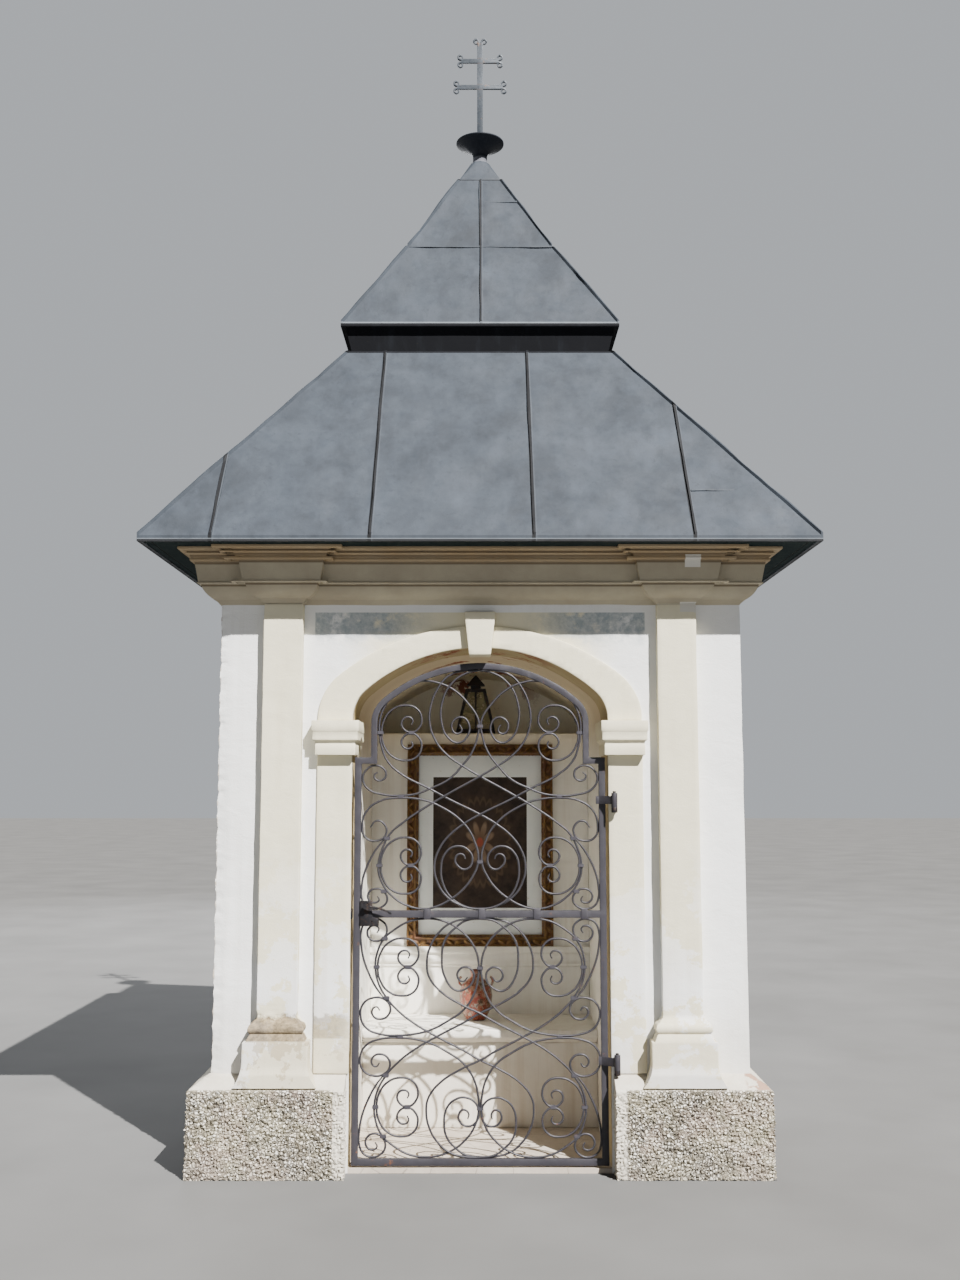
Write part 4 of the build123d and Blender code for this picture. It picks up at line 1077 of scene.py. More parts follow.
class SHRINE_OT_surround(bpy.types.Operator):
    """Finish the jambs, imposts, arch band and keystone"""

    bl_idname = "shrine.surround"
    bl_label = "Door surround"

    def execute(self, context):
        for name, nodes in (
            ("surround_band", ["arch_band", "jamb_left", "jamb_right"]),
            ("imposts", ["impost_left", "impost_right"]),
            ("keystone_plaster", ["keystone"]),
        ):
            dressed(name, nodes, "ivory", cell=0.025, uneven=0.0013)
        return {"FINISHED"}


def cornice_outline(out):
    """Corners of a level ring that stands a distance off the walls, breaking forward over the pilasters."""
    plan, low, high, front = 1.119, 0.736, 0.966, 1.169
    side = plan + out
    forward = -front - out
    near, far = low - out, high + out
    right = [(near, -side), (near, forward), (far, forward), (far, -side), (side, -side)]
    return right + [(side, side), (-side, side)] + [(-x, y) for x, y in reversed(right)]


class SHRINE_OT_cornice(bpy.types.Operator):
    """Finish the run mouldings of the cornice, with the fillets and beads between them"""

    bl_idname = "shrine.cornice"
    bl_label = "Cornice"

    def execute(self, context):
        nodes = ["cornice_front", "cornice_left", "cornice_right", "cornice_back"]
        dressed("cornice_mouldings", nodes, "ivory", edge=0.0, cell=0.045, uneven=0.0018, sharp=28)
        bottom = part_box("cornice_front")[0].z
        bm = bmesh.new()
        for inner, outer, low, high in (
            (0.068, 0.088, 0.081, 0.088), (0.090, 0.1145, 0.174, 0.186), (0.110, 0.131, 0.202, 0.2085),
            (0.120, 0.158, 0.2165, 0.2295),
        ):
            profile = (
                (inner, low), (outer - 0.003, low), (outer, low + 0.003), (outer, high - 0.002),
                (outer - 0.002, high), (inner, high),
            )
            rings = [
                [bm.verts.new((x, y, bottom + z)) for x, y in cornice_outline(out)] for out, z in profile
            ]
            bridge(bm, rings, loop=True)
        bmesh.ops.recalc_face_normals(bm, faces=bm.faces)
        cut_in_cells(bm, 0.09, axes=(0, 1))
        roughen(bm, 0.0012, 0.11)
        settle(smooth_shading(new_object("cornice_beads", bm), 28), "ivory")
        return {"FINISHED"}


class SHRINE_OT_roofs(bpy.types.Operator):
    """Lay the sheets of both roofs, buckled and knocked, and the neck between them"""

    bl_idname = "shrine.roofs"
    bl_label = "Roofs"

    def execute(self, context):
        sizes = context.scene.shrine_roof
        knocks = (
            ((-0.76, -0.95, 3.07), 0.06, 1.0), ((-0.62, -1.32, 2.70), 0.05, 0.9),
            ((-0.88, -0.97, 3.05), 0.11, 0.5), ((0.40, -0.80, 3.20), 0.10, 0.5),
            ((0.72, -1.05, 2.95), 0.12, 0.6), ((0.05, -1.15, 2.86), 0.16, 0.4),
            ((0.47, -0.47, 4.05), 0.08, 0.8), ((0.95, 0.4, 3.1), 0.10, 0.7), ((-0.9, 0.5, 3.1), 0.09, 0.8),
        )
        shift = Vector((3.1, 7.7, 1.3))

        def buckled(bm):
            cut_in_cells(bm, sizes.cell, axes=(0, 1))
            bm.normal_update()
            for vert in bm.verts:
                x, y, z = vert.co
                inset = min(x - low.x, high.x - x, y - low.y, high.y - y, high.z - z)
                calm = min(1.0, max(0.0, inset - 0.004) / 0.08)
                swell = noise.fractal(vert.co / 0.33 + shift, 1.0, 2.0, 3) * sizes.wave
                for centre, radius, share in knocks:
                    gap = (vert.co - Vector(centre)).length / radius
                    if gap < 1:
                        swell -= sizes.dent * share * (1 - gap * gap) ** 2
                vert.co += vert.normal * (swell * calm)

        for node in ("lower_roof", "upper_roof", "neck"):
            low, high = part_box(node)
            settle(edited(new_object(node + "_sheets", cad_copy(node)), buckled, 24), "sheet", [node])
        repaint("soffit", "soffit")
        self.laps()
        return {"FINISHED"}

    def laps(self):
        """Flat folded joints that run level across the sheets, on every side."""
        lower_low, lower_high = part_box("lower_roof")
        upper_low, upper_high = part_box("upper_roof")
        eave = (upper_high.x, upper_low.z)
        waist = (0.367, 4.297)
        top = (0.109, upper_high.z)
        foot = (lower_high.x, lower_low.z + 0.024)
        shoulder = (0.632, lower_high.z)
        section = ((-0.008, -0.012), (-0.007, 0.0018), (0.003, 0.0028), (0.007, -0.012))
        steps = 24
        bm = bmesh.new()
        for start, end, z, below, above in (
            (-1.0, 1.0, waist[1], eave, waist),
            (0.10, 1.0, 4.613, waist, top),
            (0.735, 1.0, 2.838, foot, shoulder),
        ):
            run, rise = below[0] - above[0], above[1] - below[1]
            half = below[0] - run * (z - below[1]) / rise
            outward = Vector((0, -rise, run)).normalized()
            up = Vector((0, run, rise)).normalized()
            for quarter in range(4):
                turn = Matrix.Rotation(quarter * math.pi / 2, 4, "Z")
                rings = []
                for step in range(steps + 1):
                    x = half * (start + (end - start) * step / steps) * 0.985
                    wander = noise.noise(Vector((x * 9, z * 3, quarter))) * 0.004
                    centre = Vector((x, -half, z)) + up * wander + outward * 0.001
                    corners = [centre + up * along + outward * out for along, out in section]
                    rings.append([bm.verts.new(turn @ corner) for corner in corners])
                bridge(bm, rings)
                bm.faces.new(rings[0])
                bm.faces.new(rings[-1])
        settle(built("roof_laps", bm, 30), "sheet")


class SHRINE_OT_finial(bpy.types.Operator):
    """Finish the finial and the cross"""

    bl_idname = "shrine.finial"
    bl_label = "Finial and cross"

    def execute(self, context):
        dressed("finial_cap_sheet", ["finial_cap"], "sheet", edge=0.003, cell=0.02, uneven=0.001)
        dressed("finial_dish_sheet", ["finial_dish"], "sheet", edge=0.0015, uneven=0.0006, sharp=40)
        dressed("cross_iron_bars", ["cross"], "cross", edge=0.0018)
        self.rings()
        return {"FINISHED"}

    def rings(self):
        """The curls closed to pairs of rings at the free ends of the cross."""
        size, top = 0.033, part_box("cross")[1].z - 0.0238
        section = ((0.0088, -0.0042), (0.0088, 0.0042), (0.0158, 0.0042), (0.0158, -0.0042))
        steps = 24
        ends = [((0, top), (0, 1))]
        for bar, half in ((top - 0.257, 0.122), (top - 0.107, 0.101)):
            ends += [((side * half, bar), (side, 0)) for side in (-1, 1)]
        bm = bmesh.new()
        for (tip_x, tip_z), (ahead_x, ahead_z) in ends:
            for side in (-1, 1):
                x = tip_x + size * (0.2 * ahead_x - side * 0.62 * ahead_z)
                z = tip_z + size * (0.2 * ahead_z + side * 0.62 * ahead_x)
                rings = []
                for step in range(steps):
                    turn = step * math.tau / steps
                    across, up = math.cos(turn), math.sin(turn)
                    rings.append([bm.verts.new((x + across * out, y, z + up * out)) for out, y in section])
                bridge(bm, rings, loop=True)
        bmesh.ops.recalc_face_normals(bm, faces=bm.faces)
        made = new_object("cross_rings", bm)
        rounded(made, 0.0012, 1)
        settle(smooth_shading(made, 40), "cross")


# Scrollwork of the gate: control points in millimetres about the crossing in the middle of a panel

SCROLL_START = [
    (-419, 106), (-432, 121), (-451, 109), (-445, 82), (-415, 71), (-383, 88), (-376, 122), (-403, 153),
    (-451, 157), (-488, 134), (-500, 86), (-476, 36), (-416, 10), (-334, 5), (-264, 12), (-204, 28),
    (-137, 62), (-70, 108), (-25, 174), (-8, 240), (-5, 290), (-22, 361), (-65, 420), (-123, 461),
    (-176, 479), (-225, 483), (-289, 475), (-356, 441), (-409, 393), (-434, 334), (-439, 279),
    (-426, 218), (-395, 163), (-346, 108), (-271, 51), (-167, -7), (-62, -60), (0, -95), (79, -131),
    (171, -190), (215, -248), (223, -299), (211, -364), (170, -430), (122, -466), (59, -482), (0, -483),
    (-62, -474), (-103, -446),
]
LOWER_END = [
    (-136, -408), (-149, -349), (-136, -285), (-99, -252), (-62, -246), (-21, -266), (-5, -307),
    (-18, -346), (-51, -361), (-84, -342), (-88, -314), (-70, -295), (-47, -310), (-51, -332),
]
UPPER_END = [
    (-146, -398), (-160, -330), (-146, -240), (-99, -188), (-62, -194), (-27, -234), (-33, -270),
    (-63, -284), (-92, -265), (-92, -238), (-70, -225), (-52, -243),
]
DOUBLE_SCROLL = [
    (127, 35), (133, 54), (112, 68), (87, 51), (92, 19), (128, 2), (161, 23), (171, 62), (149, 104),
    (101, 118), (48, 102), (12, 59), (0, 0),
]
CORNER_LENGTH = 327
CORNER_SCROLL = [
    (-434, 268), (-426, 287), (-447, 299), (-471, 283), (-469, 251), (-439, 234), (-405, 249), (-392, 287),
    (-413, 318), (-451, 327), (-484, 312), (-500, 276), (-500, 222), (-488, 158), (-462, 92), (-432, 38),
    (-402, 0),
]
HEAD_BAR = [
    (-437, 104), (-452, 90), (-441, 71), (-413, 73), (-401, 99), (-419, 125), (-455, 132), (-487, 112),
    (-500, 76), (-478, 34), (-405, 8), (-337, 5),
    (-273, 12), (-209, 36), (-134, 73), (-77, 131), (-36, 186), (-10, 259), (-5, 320), (-53, 400),
    (-112, 456), (-176, 486), (-249, 495), (-316, 473), (-374, 433), (-410, 383), (-429, 327),
    (-430, 269), (-420, 212), (-397, 154), (-337, 97), (-215, 34), (-119, -17), (-21, -64), (68, -114),
    (136, -169), (174, -223), (193, -290), (182, -353), (144, -415), (75, -458), (4, -470),
    (-70, -458), (-125, -420), (-155, -369), (-165, -307), (-148, -240), (-102, -209), (-50, -225),
    (-32, -270), (-59, -305), (-95, -290), (-105, -262), (-90, -242), (-69, -246), (-62, -262),
]
HEAD_BAR_BACK = [
    (88, 307), (78, 282), (98, 268), (120, 290), (112, 325), (75, 338), (48, 310), (52, 262), (90, 230),
    (135, 250), (165, 320), (160, 410), (125, 480), (60, 528), (-10, 541), (-60, 541), (-135, 517),
    (-185, 456), (-212, 383), (-216, 319), (-193, 244), (-141, 178), (-68, 127), (-4, 89), (143, 8),
    (255, -59), (323, -106), (378, -152), (411, -211), (430, -290), (418, -353), (367, -420),
    (300, -459), (240, -470), (180, -459), (127, -432), (76, -393), (34, -340), (7, -269), (24, -186),
    (68, -114), (183, -34), (249, -12), (343, -5), (420, -16), (480, -58), (500, -120), (488, -170),
    (440, -186), (400, -160), (405, -118), (440, -102), (466, -130),
]
LOWER_TIES = [
    (-334, 0), (-434, 284), (-434, -284), (-302, 284), (-302, -284), (-392, 157), (-392, -157), (-401, 401),
    (-401, -401),
]
UPPER_TIES = [(-337, 0), (-426, 272), (-426, -290), (-294, 272), (-294, -290), (-395, -176), (-406, -398)]
DRAWN_HALF_WIDTH = 505
DRAWN_HALF_HEIGHT = 488
DRAWN_UPPER_REACH = 546
CROWN_SHARE = 0.466
GATE_RAIL = 0.028
LOCK_RAIL = (1.033, 1.063)
GATE_MIDDLE = -1.105


def upside_down(points, middle=0):
    """The same points on the other side of a level line."""
    return [(x, 2 * middle - z) for x, z in points]


def paired_scroll(x, z):
    """A double scroll whose two spirals meet at a point on a long bar."""
    half = [(x + along, z + up) for along, up in DOUBLE_SCROLL]
    return half + upside_down(half[-2::-1], z)


def corner_scroll(tie_z, end_z):
    """A scroll from its tie on a long bar to the rail at the end of the panel."""
    stretch = (end_z - tie_z) / CORNER_LENGTH
    return [(x, tie_z + z * stretch) for x, z in CORNER_SCROLL]


def lower_panel():
    """Bars, ties, middle height and stretch of the lower panel."""
    bars = [SCROLL_START + LOWER_END, upside_down(SCROLL_START + UPPER_END)]
    bars += [paired_scroll(-429, 284), paired_scroll(-429, -284)]
    bars += [corner_scroll(157, 483), corner_scroll(-157, -483)]
    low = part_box("gate_frame")[0].z + GATE_RAIL
    middle = (low + LOCK_RAIL[0]) / 2
    return bars, LOWER_TIES, [(0, 280), (0, -290)], middle, (LOCK_RAIL[0] - low) / 2 / DRAWN_HALF_HEIGHT


def upper_panel():
    """Bars, ties, middle height and stretch of the upper panel."""
    bars = [HEAD_BAR, HEAD_BAR_BACK, paired_scroll(-421, 272), paired_scroll(-421, -290)]
    bars += [corner_scroll(-176, -470)]
    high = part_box("gate_frame")[1].z - 0.026
    middle = LOCK_RAIL[1] + (high - LOCK_RAIL[1]) * CROWN_SHARE
    return bars, UPPER_TIES, [(0, 300), (0, -275)], middle, (high - middle) / DRAWN_UPPER_REACH


def add_path(curve, points):
    """A smooth path through points."""
    spline = curve.splines.new("BEZIER")
    spline.bezier_points.add(len(points) - 1)
    spline.resolution_u = 16
    for point, place in zip(spline.bezier_points, points):
        point.co = place
        point.handle_left_type = point.handle_right_type = "AUTO"


def node_tree(name, **inputs):
    """A Geometry Nodes tree with named inputs, its input fields, its end and its sockets' identifiers."""
    tree = bpy.data.node_groups.new(name, "GeometryNodeTree")
    tree.interface.new_socket("Geometry", in_out="INPUT", socket_type="NodeSocketGeometry")
    tree.interface.new_socket("Geometry", in_out="OUTPUT", socket_type="NodeSocketGeometry")
    identifiers = {}
    for label, kind in inputs.items():
        label = label.replace("_", " ")
        socket = tree.interface.new_socket(label, in_out="INPUT", socket_type="NodeSocket" + kind)
        identifiers[label] = socket.identifier
    start = tree.nodes.new("NodeGroupInput")
    given = {socket.name: Field(socket) for socket in start.outputs if socket.name}
    return tree, given, identifiers


def end_tree(tree, geometry, material):
    """Real geometry in its material at the end of a tree."""
    real = put(tree, "GeometryNodeRealizeInstances", {"Geometry": geometry})
    coated = put(tree, "GeometryNodeSetMaterial", {"Geometry": real, "Material": material})
    tree.links.new(coated.socket, tree.nodes.new("NodeGroupOutput").inputs[0])


def run_nodes(made, tree, identifiers, **values):
    """Run a Geometry Nodes tree on an object; returns a plain mesh object."""
    modifier = made.modifiers.new(tree.name, "NODES")
    modifier.node_group = tree
    for label, value in values.items():
        modifier[identifiers[label.replace("_", " ")]] = value
    mesh = evaluated_mesh(made)
    mesh.name = name = made.name
    discard(made)
    return new_object(name, mesh)


def forged_bar_tree():
    """Round bars swept along curves, drawn thin at their ends, with hammer marks."""
    tree, given, identifiers = node_tree(
        "Forged bars", Bar_Width="Float", Step="Float", Hammer="Float", Seed="Int", Material="Material"
    )
    resampled = {"Curve": given["Geometry"], "Length": given["Step"]}
    rings = put(tree, "GeometryNodeResampleCurve", resampled, mode="LENGTH")
    along = put(tree, "GeometryNodeSplineParameter", out="Length")
    total = put(tree, "GeometryNodeSplineLength", out="Length")
    nearest = along.math("MINIMUM", total - along)
    radius = given["Bar Width"] * 0.5 * fade(nearest, 0.0, 0.05, 0.62, 1.0)
    thick = put(tree, "GeometryNodeSetCurveRadius", {"Curve": rings, "Radius": radius})
    profile = put(tree, "GeometryNodeCurvePrimitiveCircle", {"Resolution": 8, "Radius": 1.0})
    bars = put(tree, "GeometryNodeCurveToMesh", {"Curve": thick, "Profile Curve": profile, "Fill Caps": True})
    sweep = bars.socket.node
    if "Scale" in sweep.inputs:
        tree.links.new(radius.socket, sweep.inputs["Scale"])
    shift = put(tree, "ShaderNodeCombineXYZ", {"X": given["Seed"]})
    place = put(tree, "GeometryNodeInputPosition")
    where = put(tree, "ShaderNodeVectorMath", {0: place, 1: shift}, operation="ADD")
    marks = put(tree, "ShaderNodeTexNoise", {"Vector": where, "Scale": 70.0, "Detail": 1.0})
    normal = put(tree, "GeometryNodeInputNormal")
    depth = (marks - 0.5) * given["Hammer"]
    offset = put(tree, "ShaderNodeVectorMath", {0: normal, "Scale": depth}, operation="SCALE")
    moved = put(tree, "GeometryNodeSetPosition", {"Geometry": bars, "Offset": offset})
    smooth = put(tree, "GeometryNodeSetShadeSmooth", {"Geometry": moved})
    end_tree(tree, smooth, given["Material"])
    return tree, identifiers


def copies_on(name, points, shape, material):
    """A piece of copies of one shape; points are (place, turn about Y)."""
    tree, given, identifiers = node_tree(name, Shape="Object", Material="Material")
    geometry = put(tree, "GeometryNodeObjectInfo", {"Object": given["Shape"]}, "Geometry")
    turn = put(tree, "GeometryNodeInputNamedAttribute", {"Name": "turn"}, "Attribute", data_type="FLOAT")
    rotation = put(tree, "ShaderNodeCombineXYZ", {"Y": turn})
    copied = {"Points": given["Geometry"], "Instance": geometry, "Rotation": rotation}
    end_tree(tree, put(tree, "GeometryNodeInstanceOnPoints", copied), given["Material"])
    mesh = bpy.data.meshes.new(name)
    mesh.from_pydata([place for place, turned in points], [], [])
    turns = mesh.attributes.new("turn", "FLOAT", "POINT")
    turns.data.foreach_set("value", [turned for place, turned in points])
    made = run_nodes(new_object(name, mesh), tree, identifiers, Shape=shape, Material=materials[material])
    discard(shape)
    return made


class SHRINE_OT_scrollwork(bpy.types.Operator):
    """Forge the scrolls of both panels and tie them together"""

    bl_idname = "shrine.scrollwork"
    bl_label = "Scrollwork"

    def execute(self, context):
        sizes = context.scene.shrine_gate
        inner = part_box("gate_frame")[1].x - GATE_RAIL
        stretch_x = (inner - sizes.bar / 2) / (DRAWN_HALF_WIDTH * MM - sizes.bar / 2) * MM
        layer, tie_depth = 0.0022, 0.0155
        tree, identifiers = forged_bar_tree()
        for side_name, panel in (("lower", lower_panel()), ("upper", upper_panel())):
            bars, ties, middle_ties, middle, stretch_z = panel
            curve = bpy.data.curves.new("paths", "CURVE")
            curve.dimensions = "3D"
            for path in bars:
                for side in (-1, 1):
                    y = GATE_MIDDLE + side * layer
                    add_path(curve, [(side * x * stretch_x, y, middle + z * stretch_z) for x, z in path])
            made = run_nodes(
                new_object(side_name + "_scroll_bars", curve), tree, identifiers, Bar_Width=sizes.bar,
                Step=sizes.step, Hammer=sizes.hammer, Seed=sizes.seed, Material=materials["bars"],
            )
            settle(made, "bars", [side_name + "_scrolls"], "gate")
            bm = bmesh.new()
            collar = (sizes.tie_width, tie_depth, sizes.tie_height)
            bmesh.ops.create_cube(bm, size=1, matrix=Matrix.Diagonal((*collar, 1)))
            bmesh.ops.bevel(bm, geom=list(bm.edges), offset=min(collar) * 0.17, segments=2, affect="EDGES")
            shape = smooth_shading(new_object("collar", bm), 40)
            points = [
                ((x * stretch_x, GATE_MIDDLE, middle + z * stretch_z), 0.0)
                for x, z in middle_ties + ties + [(-x, z) for x, z in ties]
            ]
            settle(copies_on(side_name + "_scroll_ties", points, shape, "gate"), "gate", body="gate")
        return {"FINISHED"}


class SHRINE_OT_gate_frame(bpy.types.Operator):
    """Finish the gate's frame, hinges, lock and keeper"""

    bl_idname = "shrine.gate_frame"
    bl_label = "Gate frame and lock"

    def execute(self, context):
        dressed(
            "gate_frame_iron", ["gate_frame"], "gate", edge=0.0016, cell=0.03, uneven=0.0005, size=0.05,
            body="gate",
        )
        dressed("hinge_straps_iron", ["hinge_straps"], "gate", edge=0.0014, body="gate")
        dressed("pintles_iron", ["hinge_pintles"], "iron", edge=0.0014)
        dressed("keeper_iron", ["lock_keeper"], "iron", edge=0.0014)
        lock = dressed("lock_case", ["lock"], "iron", edge=0.0016, body="gate")
        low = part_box("lock")[0]
        hole = Vector((low.x + 0.050, low.y, low.z + 0.019))
        bm = bmesh.new()
        pin(bm, hole, 0.0036, 0.008, 20)
        slot = Matrix.Translation(hole - Vector((0, 0, 0.006))) @ Matrix.Diagonal((0.0032, 0.008, 0.011, 1))
        bmesh.ops.create_cube(bm, size=1, matrix=slot)
        cutter = new_object("keyhole", bm)
        cut = lock.modifiers.new("Keyhole", "BOOLEAN")
        cut.operation = "DIFFERENCE"
        cut.object = cutter
        cut.solver = "EXACT"
        cut.use_self = True
        lock.data = evaluated_mesh(lock)
        discard(cutter)
        smooth_shading(lock)
        return {"FINISHED"}


class SHRINE_OT_lever(bpy.types.Operator):
    """Forge the twisted lever handle"""

    bl_idname = "shrine.lever"
    bl_label = "Lever handle"

    def execute(self, context):
        low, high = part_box("lever_handle")
        joint = next(j for j in frame["joints"] if j["name"] == "lever_turn")
        x, _, z = joint["pos_m"]
        reach, end_bead = 0.108, 0.88
        curve = bpy.data.curves.new("path", "CURVE")
        bends = ((0, 0), (0.28, -0.03), (0.65, -0.11), (1, -0.28))
        add_path(curve, [(x + along * reach, 0, z + up * reach) for along, up in bends])
        guide = bpy.data.objects.new("path", curve)
        axis = Vector((0, low.y + 0.006, 0))
        path = [v.co + axis for v in bpy.data.meshes.new_from_object(guide).vertices]
        discard(guide)

        def twisted(share, corner):
            half = 0.0058 - 0.0016 * share
            if share > end_bead:
                half *= 1 + 0.45 * math.sin((share - end_bead) / (1 - end_bead) * math.pi)
            twist = math.radians(810) * min(1, max(0, (share - 0.22) / 0.5))
            return twist + corner * math.pi / 4, half * (1.0 if corner % 2 else 0.80)

        bm = bmesh.new()
        tube(bm, path, 8, twisted)
        rose = (0.0118, low.y + 0.0005, low.y + 0.0115)
        spindle = (0.0068, low.y + 0.001, high.y)
        for radius, front, back in (rose, spindle):
            pin(bm, Vector((x, (front + back) / 2, z)), radius, back - front, 28)
        settle(built("lever_forged", bm, 45), "iron", ["lever_handle"], "lever")
        return {"FINISHED"}


class SHRINE_OT_niche(bpy.types.Operator):
    """Wash the vault, the altar and the floor of the niche"""

    bl_idname = "shrine.niche"
    bl_label = "Niche"

    def execute(self, context):
        for name, node, edge, cell, uneven in (
            ("vault_plaster", "vault", 0.0, 0.05, 0.0022),
            ("reredos_plaster", "reredos", 0.008, 0.035, 0.002),
            ("altar_plaster", "altar_block", 0.006, 0.035, 0.002),
            ("mensa_plaster", "altar_slab", 0.005, 0.03, 0.0015),
            ("shelf_moulding", "picture_shelf", 0.002, 0.03, 0.0012),
        ):
            dressed(name, [node], "niche", edge=edge, cell=cell, uneven=uneven)
        dressed("floor_screed", ["floor"], "floor", edge=0.0, cell=0.05, uneven=0.0014)
        return {"FINISHED"}


def leaf_shape(size):
    """A carved leaf: an almond with a raised rib."""
    bm = bmesh.new()
    rows = []
    for step in range(7):
        along = step / 6
        half = size * 0.30 * math.sin(math.pi * (0.06 + 0.88 * along)) ** 0.8
        swell = math.sin(math.pi * (0.08 + 0.84 * along)) ** 0.6
        row = []
        for side in (-1, -0.5, 0, 0.5, 1):
            height = size * (0.26 * (1 - abs(side)) ** 0.7 + 0.04) * swell
            row.append(bm.verts.new((side * half, -height, (along - 0.5) * size)))
        rows.append(row)
    bridge(bm, rows, wrap=False)
    outline = [row[0] for row in rows] + rows[-1][1:]
    outline += [row[-1] for row in rows[-2::-1]] + rows[0][3:0:-1]
    bm.faces.new(outline)
    return built("leaf", bm, 60)


def round_the_frame(low, high, inset, y, spacing):
    """Places at even steps along the four members, with each member's turn and the step's number."""
    for level in (True, False):
        run = high.x - low.x if level else high.z - low.z
        count = round(run / spacing)
        for first_side in (True, False):
            x = low.x + inset if first_side else high.x - inset
            z = low.z + inset if first_side else high.z - inset
            for index in range(1, count):
                along = run * index / count
                if inset < along < run - inset:
                    place = (low.x + along, y, z) if level else (x, y, low.z + along)
                    yield place, math.pi / 2 if level else 0.0, index


class SHRINE_OT_picture(bpy.types.Operator):
    """Frame the picture with a carved and gilded moulding"""

    bl_idname = "shrine.picture"
    bl_label = "Picture"

    def execute(self, context):
        low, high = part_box("picture_frame")
        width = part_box("picture_mat")[0].x - low.x
        deep = high.y - low.y
        profile = [
            (0.0, 0.0), (0.0, 0.55), (0.05, 0.66), (0.14, 0.70), (0.20, 0.66), (0.26, 0.52),
            (0.40, 0.58), (0.55, 0.74), (0.66, 0.93), (0.74, 1.0), (0.82, 0.97), (0.87, 0.80),
            (0.93, 0.72), (1.0, 0.66), (1.0, 0.30),
        ]
        bm = bmesh.new()
        loops = []
        for inward, out in profile:
            inset, y = inward * width, high.y - out * deep
            left, right, bottom, top = low.x + inset, high.x - inset, low.z + inset, high.z - inset
            corners = ((left, bottom), (right, bottom), (right, top), (left, top))
            loops.append([bm.verts.new((x, y, z)) for x, z in corners])
        bridge(bm, loops, loop=True)
        bmesh.ops.recalc_face_normals(bm, faces=bm.faces)
        cut_in_cells(bm, 0.012)
        roughen(bm, 0.0007, 0.03)
        split_large_faces(bm)
        settle(smooth_shading(new_object("picture_moulding", bm), 40), "gilt", ["picture_frame"])
        lean = math.radians(38)
        points = [
            (place, turn + (lean if index % 2 else -lean))
            for place, turn, index in round_the_frame(low, high, width * 0.42, high.y - deep * 0.56, 0.042)
        ]
        settle(copies_on("picture_leaves", points, leaf_shape(0.046), "gilt"), "gilt")
        bm = bmesh.new()
        bmesh.ops.create_icosphere(bm, subdivisions=2, radius=0.0052)
        bead = smooth_shading(new_object("bead", bm), 90)
        beads = round_the_frame(low, high, width * 0.93, high.y - deep * 0.70, 0.0165)
        points = [(place, 0.0) for place, turn, index in beads]
        settle(copies_on("picture_beads", points, bead, "gilt"), "gilt")
        dressed("picture_card", ["picture_mat"], "mat", edge=0.0012)
        repaint("print", "picture_print")
        return {"FINISHED"}


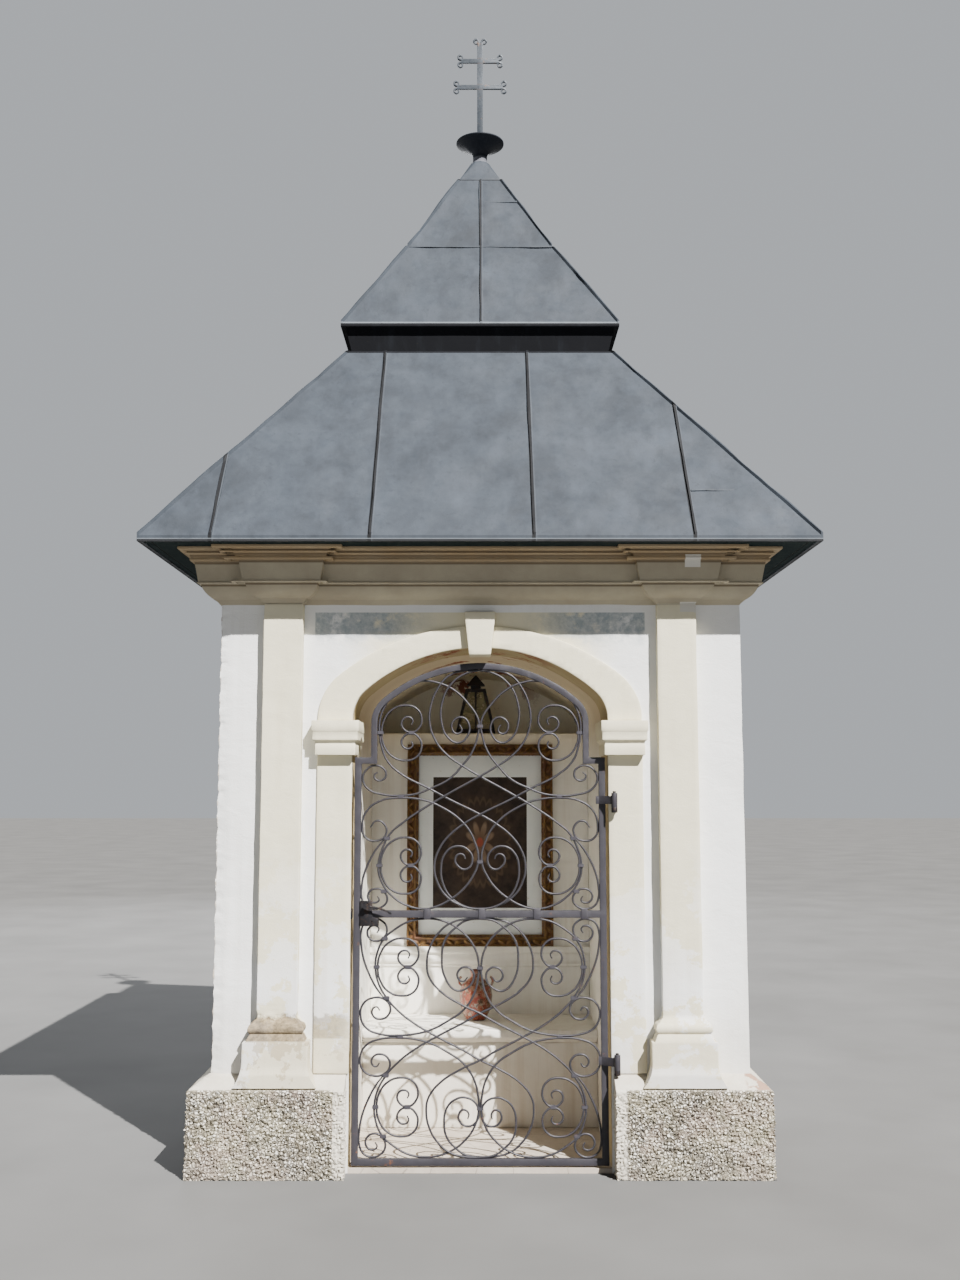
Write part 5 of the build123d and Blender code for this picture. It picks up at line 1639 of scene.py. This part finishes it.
class SHRINE_OT_furnishing(bpy.types.Operator):
    """Finish the lantern and the jar"""

    bl_idname = "shrine.furnishing"
    bl_label = "Lantern and jar"

    def execute(self, context):
        dressed("lantern_iron_frame", ["lantern_frame"], "iron", edge=0.0012, slot="lantern_iron")
        repaint("glass", "lantern_glass")
        low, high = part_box("votive_jar")
        centre = Vector(((low.x + high.x) / 2, (low.y + high.y) / 2, low.z))
        tall = high.z - low.z
        radius = (high.y - low.y) / 2
        outline = (
            (0.0, 0.0), (0.58, 0.0), (0.63, 0.02), (0.72, 0.08), (0.88, 0.2), (0.985, 0.36), (1.0, 0.47),
            (0.97, 0.6), (0.86, 0.71), (0.62, 0.785), (0.40, 0.84), (0.335, 0.88), (0.34, 0.94),
            (0.39, 0.985), (0.37, 1.0), (0.27, 0.995), (0.26, 0.93), (0.26, 0.86), (0.0, 0.80),
        )
        steps, bends = 48, 12
        bm = bmesh.new()
        rings = []
        for share, up in outline:
            ring = []
            for step in range(steps if share else 1):
                turn = step * math.tau / steps
                wobble = 1 + 0.008 * math.sin(2 * turn + up * 5)
                spot = Vector((math.cos(turn), math.sin(turn), 0)) * (share * radius * wobble * 0.992)
                ring.append(bm.verts.new(centre + spot + Vector((0, 0, up * tall))))
            rings.append(ring)
        bridge(bm, rings)
        for side in (-1, 1):
            arc = []
            for bend in range(bends + 1):
                turn = math.radians(-75 + 150 * bend / bends)
                out = 0.80 * radius + 0.018 * math.cos(turn)
                arc.append(centre + Vector((side * out, 0, 0.77 * tall + 0.021 * math.sin(turn))))
            tube(bm, arc, 10, lambda share, corner: (corner * math.tau / 10, 0.0058))
        settle(built("jar", bm, 70), "glaze", ["votive_jar"])
        return {"FINISHED"}


GROUPS = (
    ("shrine_colours", ShrineColours), ("shrine_render", RenderSizes), ("shrine_roof", RoofSizes),
    ("shrine_gate", GateSizes), ("shrine_studio", StudioSizes),
)
OPERATORS = (
    SHRINE_OT_studio, SHRINE_OT_walls, SHRINE_OT_plinth, SHRINE_OT_pilasters, SHRINE_OT_surround,
    SHRINE_OT_cornice, SHRINE_OT_roofs, SHRINE_OT_finial, SHRINE_OT_gate_frame, SHRINE_OT_scrollwork,
    SHRINE_OT_lever, SHRINE_OT_niche, SHRINE_OT_picture, SHRINE_OT_furnishing,
)


class SHRINE_PT_panel(bpy.types.Panel):
    """The shrine's pieces"""

    bl_idname = "SHRINE_PT_panel"
    bl_label = "Wayside shrine"
    bl_space_type = "VIEW_3D"
    bl_region_type = "UI"
    bl_category = "Shrine"

    def draw(self, context):
        for operator in OPERATORS:
            self.layout.operator(operator.bl_idname)
        for name, kind in GROUPS:
            column = self.layout.column(align=True)
            for key in kind.__annotations__:
                column.prop(getattr(context.scene, name), key)


def register():
    """Register the settings, the operators and the panel."""
    for name, kind in GROUPS:
        bpy.utils.register_class(kind)
        setattr(bpy.types.Scene, name, PointerProperty(type=kind))
    for kind in (*OPERATORS, SHRINE_PT_panel):
        bpy.utils.register_class(kind)


def unregister():
    """Take the settings, the operators and the panel out again."""
    for kind in (SHRINE_PT_panel, *reversed(OPERATORS)):
        bpy.utils.unregister_class(kind)
    for name, kind in reversed(GROUPS):
        delattr(bpy.types.Scene, name)
        bpy.utils.unregister_class(kind)


def main():
    """Build every piece in order."""
    register()
    make_shared_groups()
    make_finishes()
    for operator in OPERATORS:
        group_name, step = operator.bl_idname.split(".")
        getattr(getattr(bpy.ops, group_name), step)()


if __name__ == "__main__":
    main()
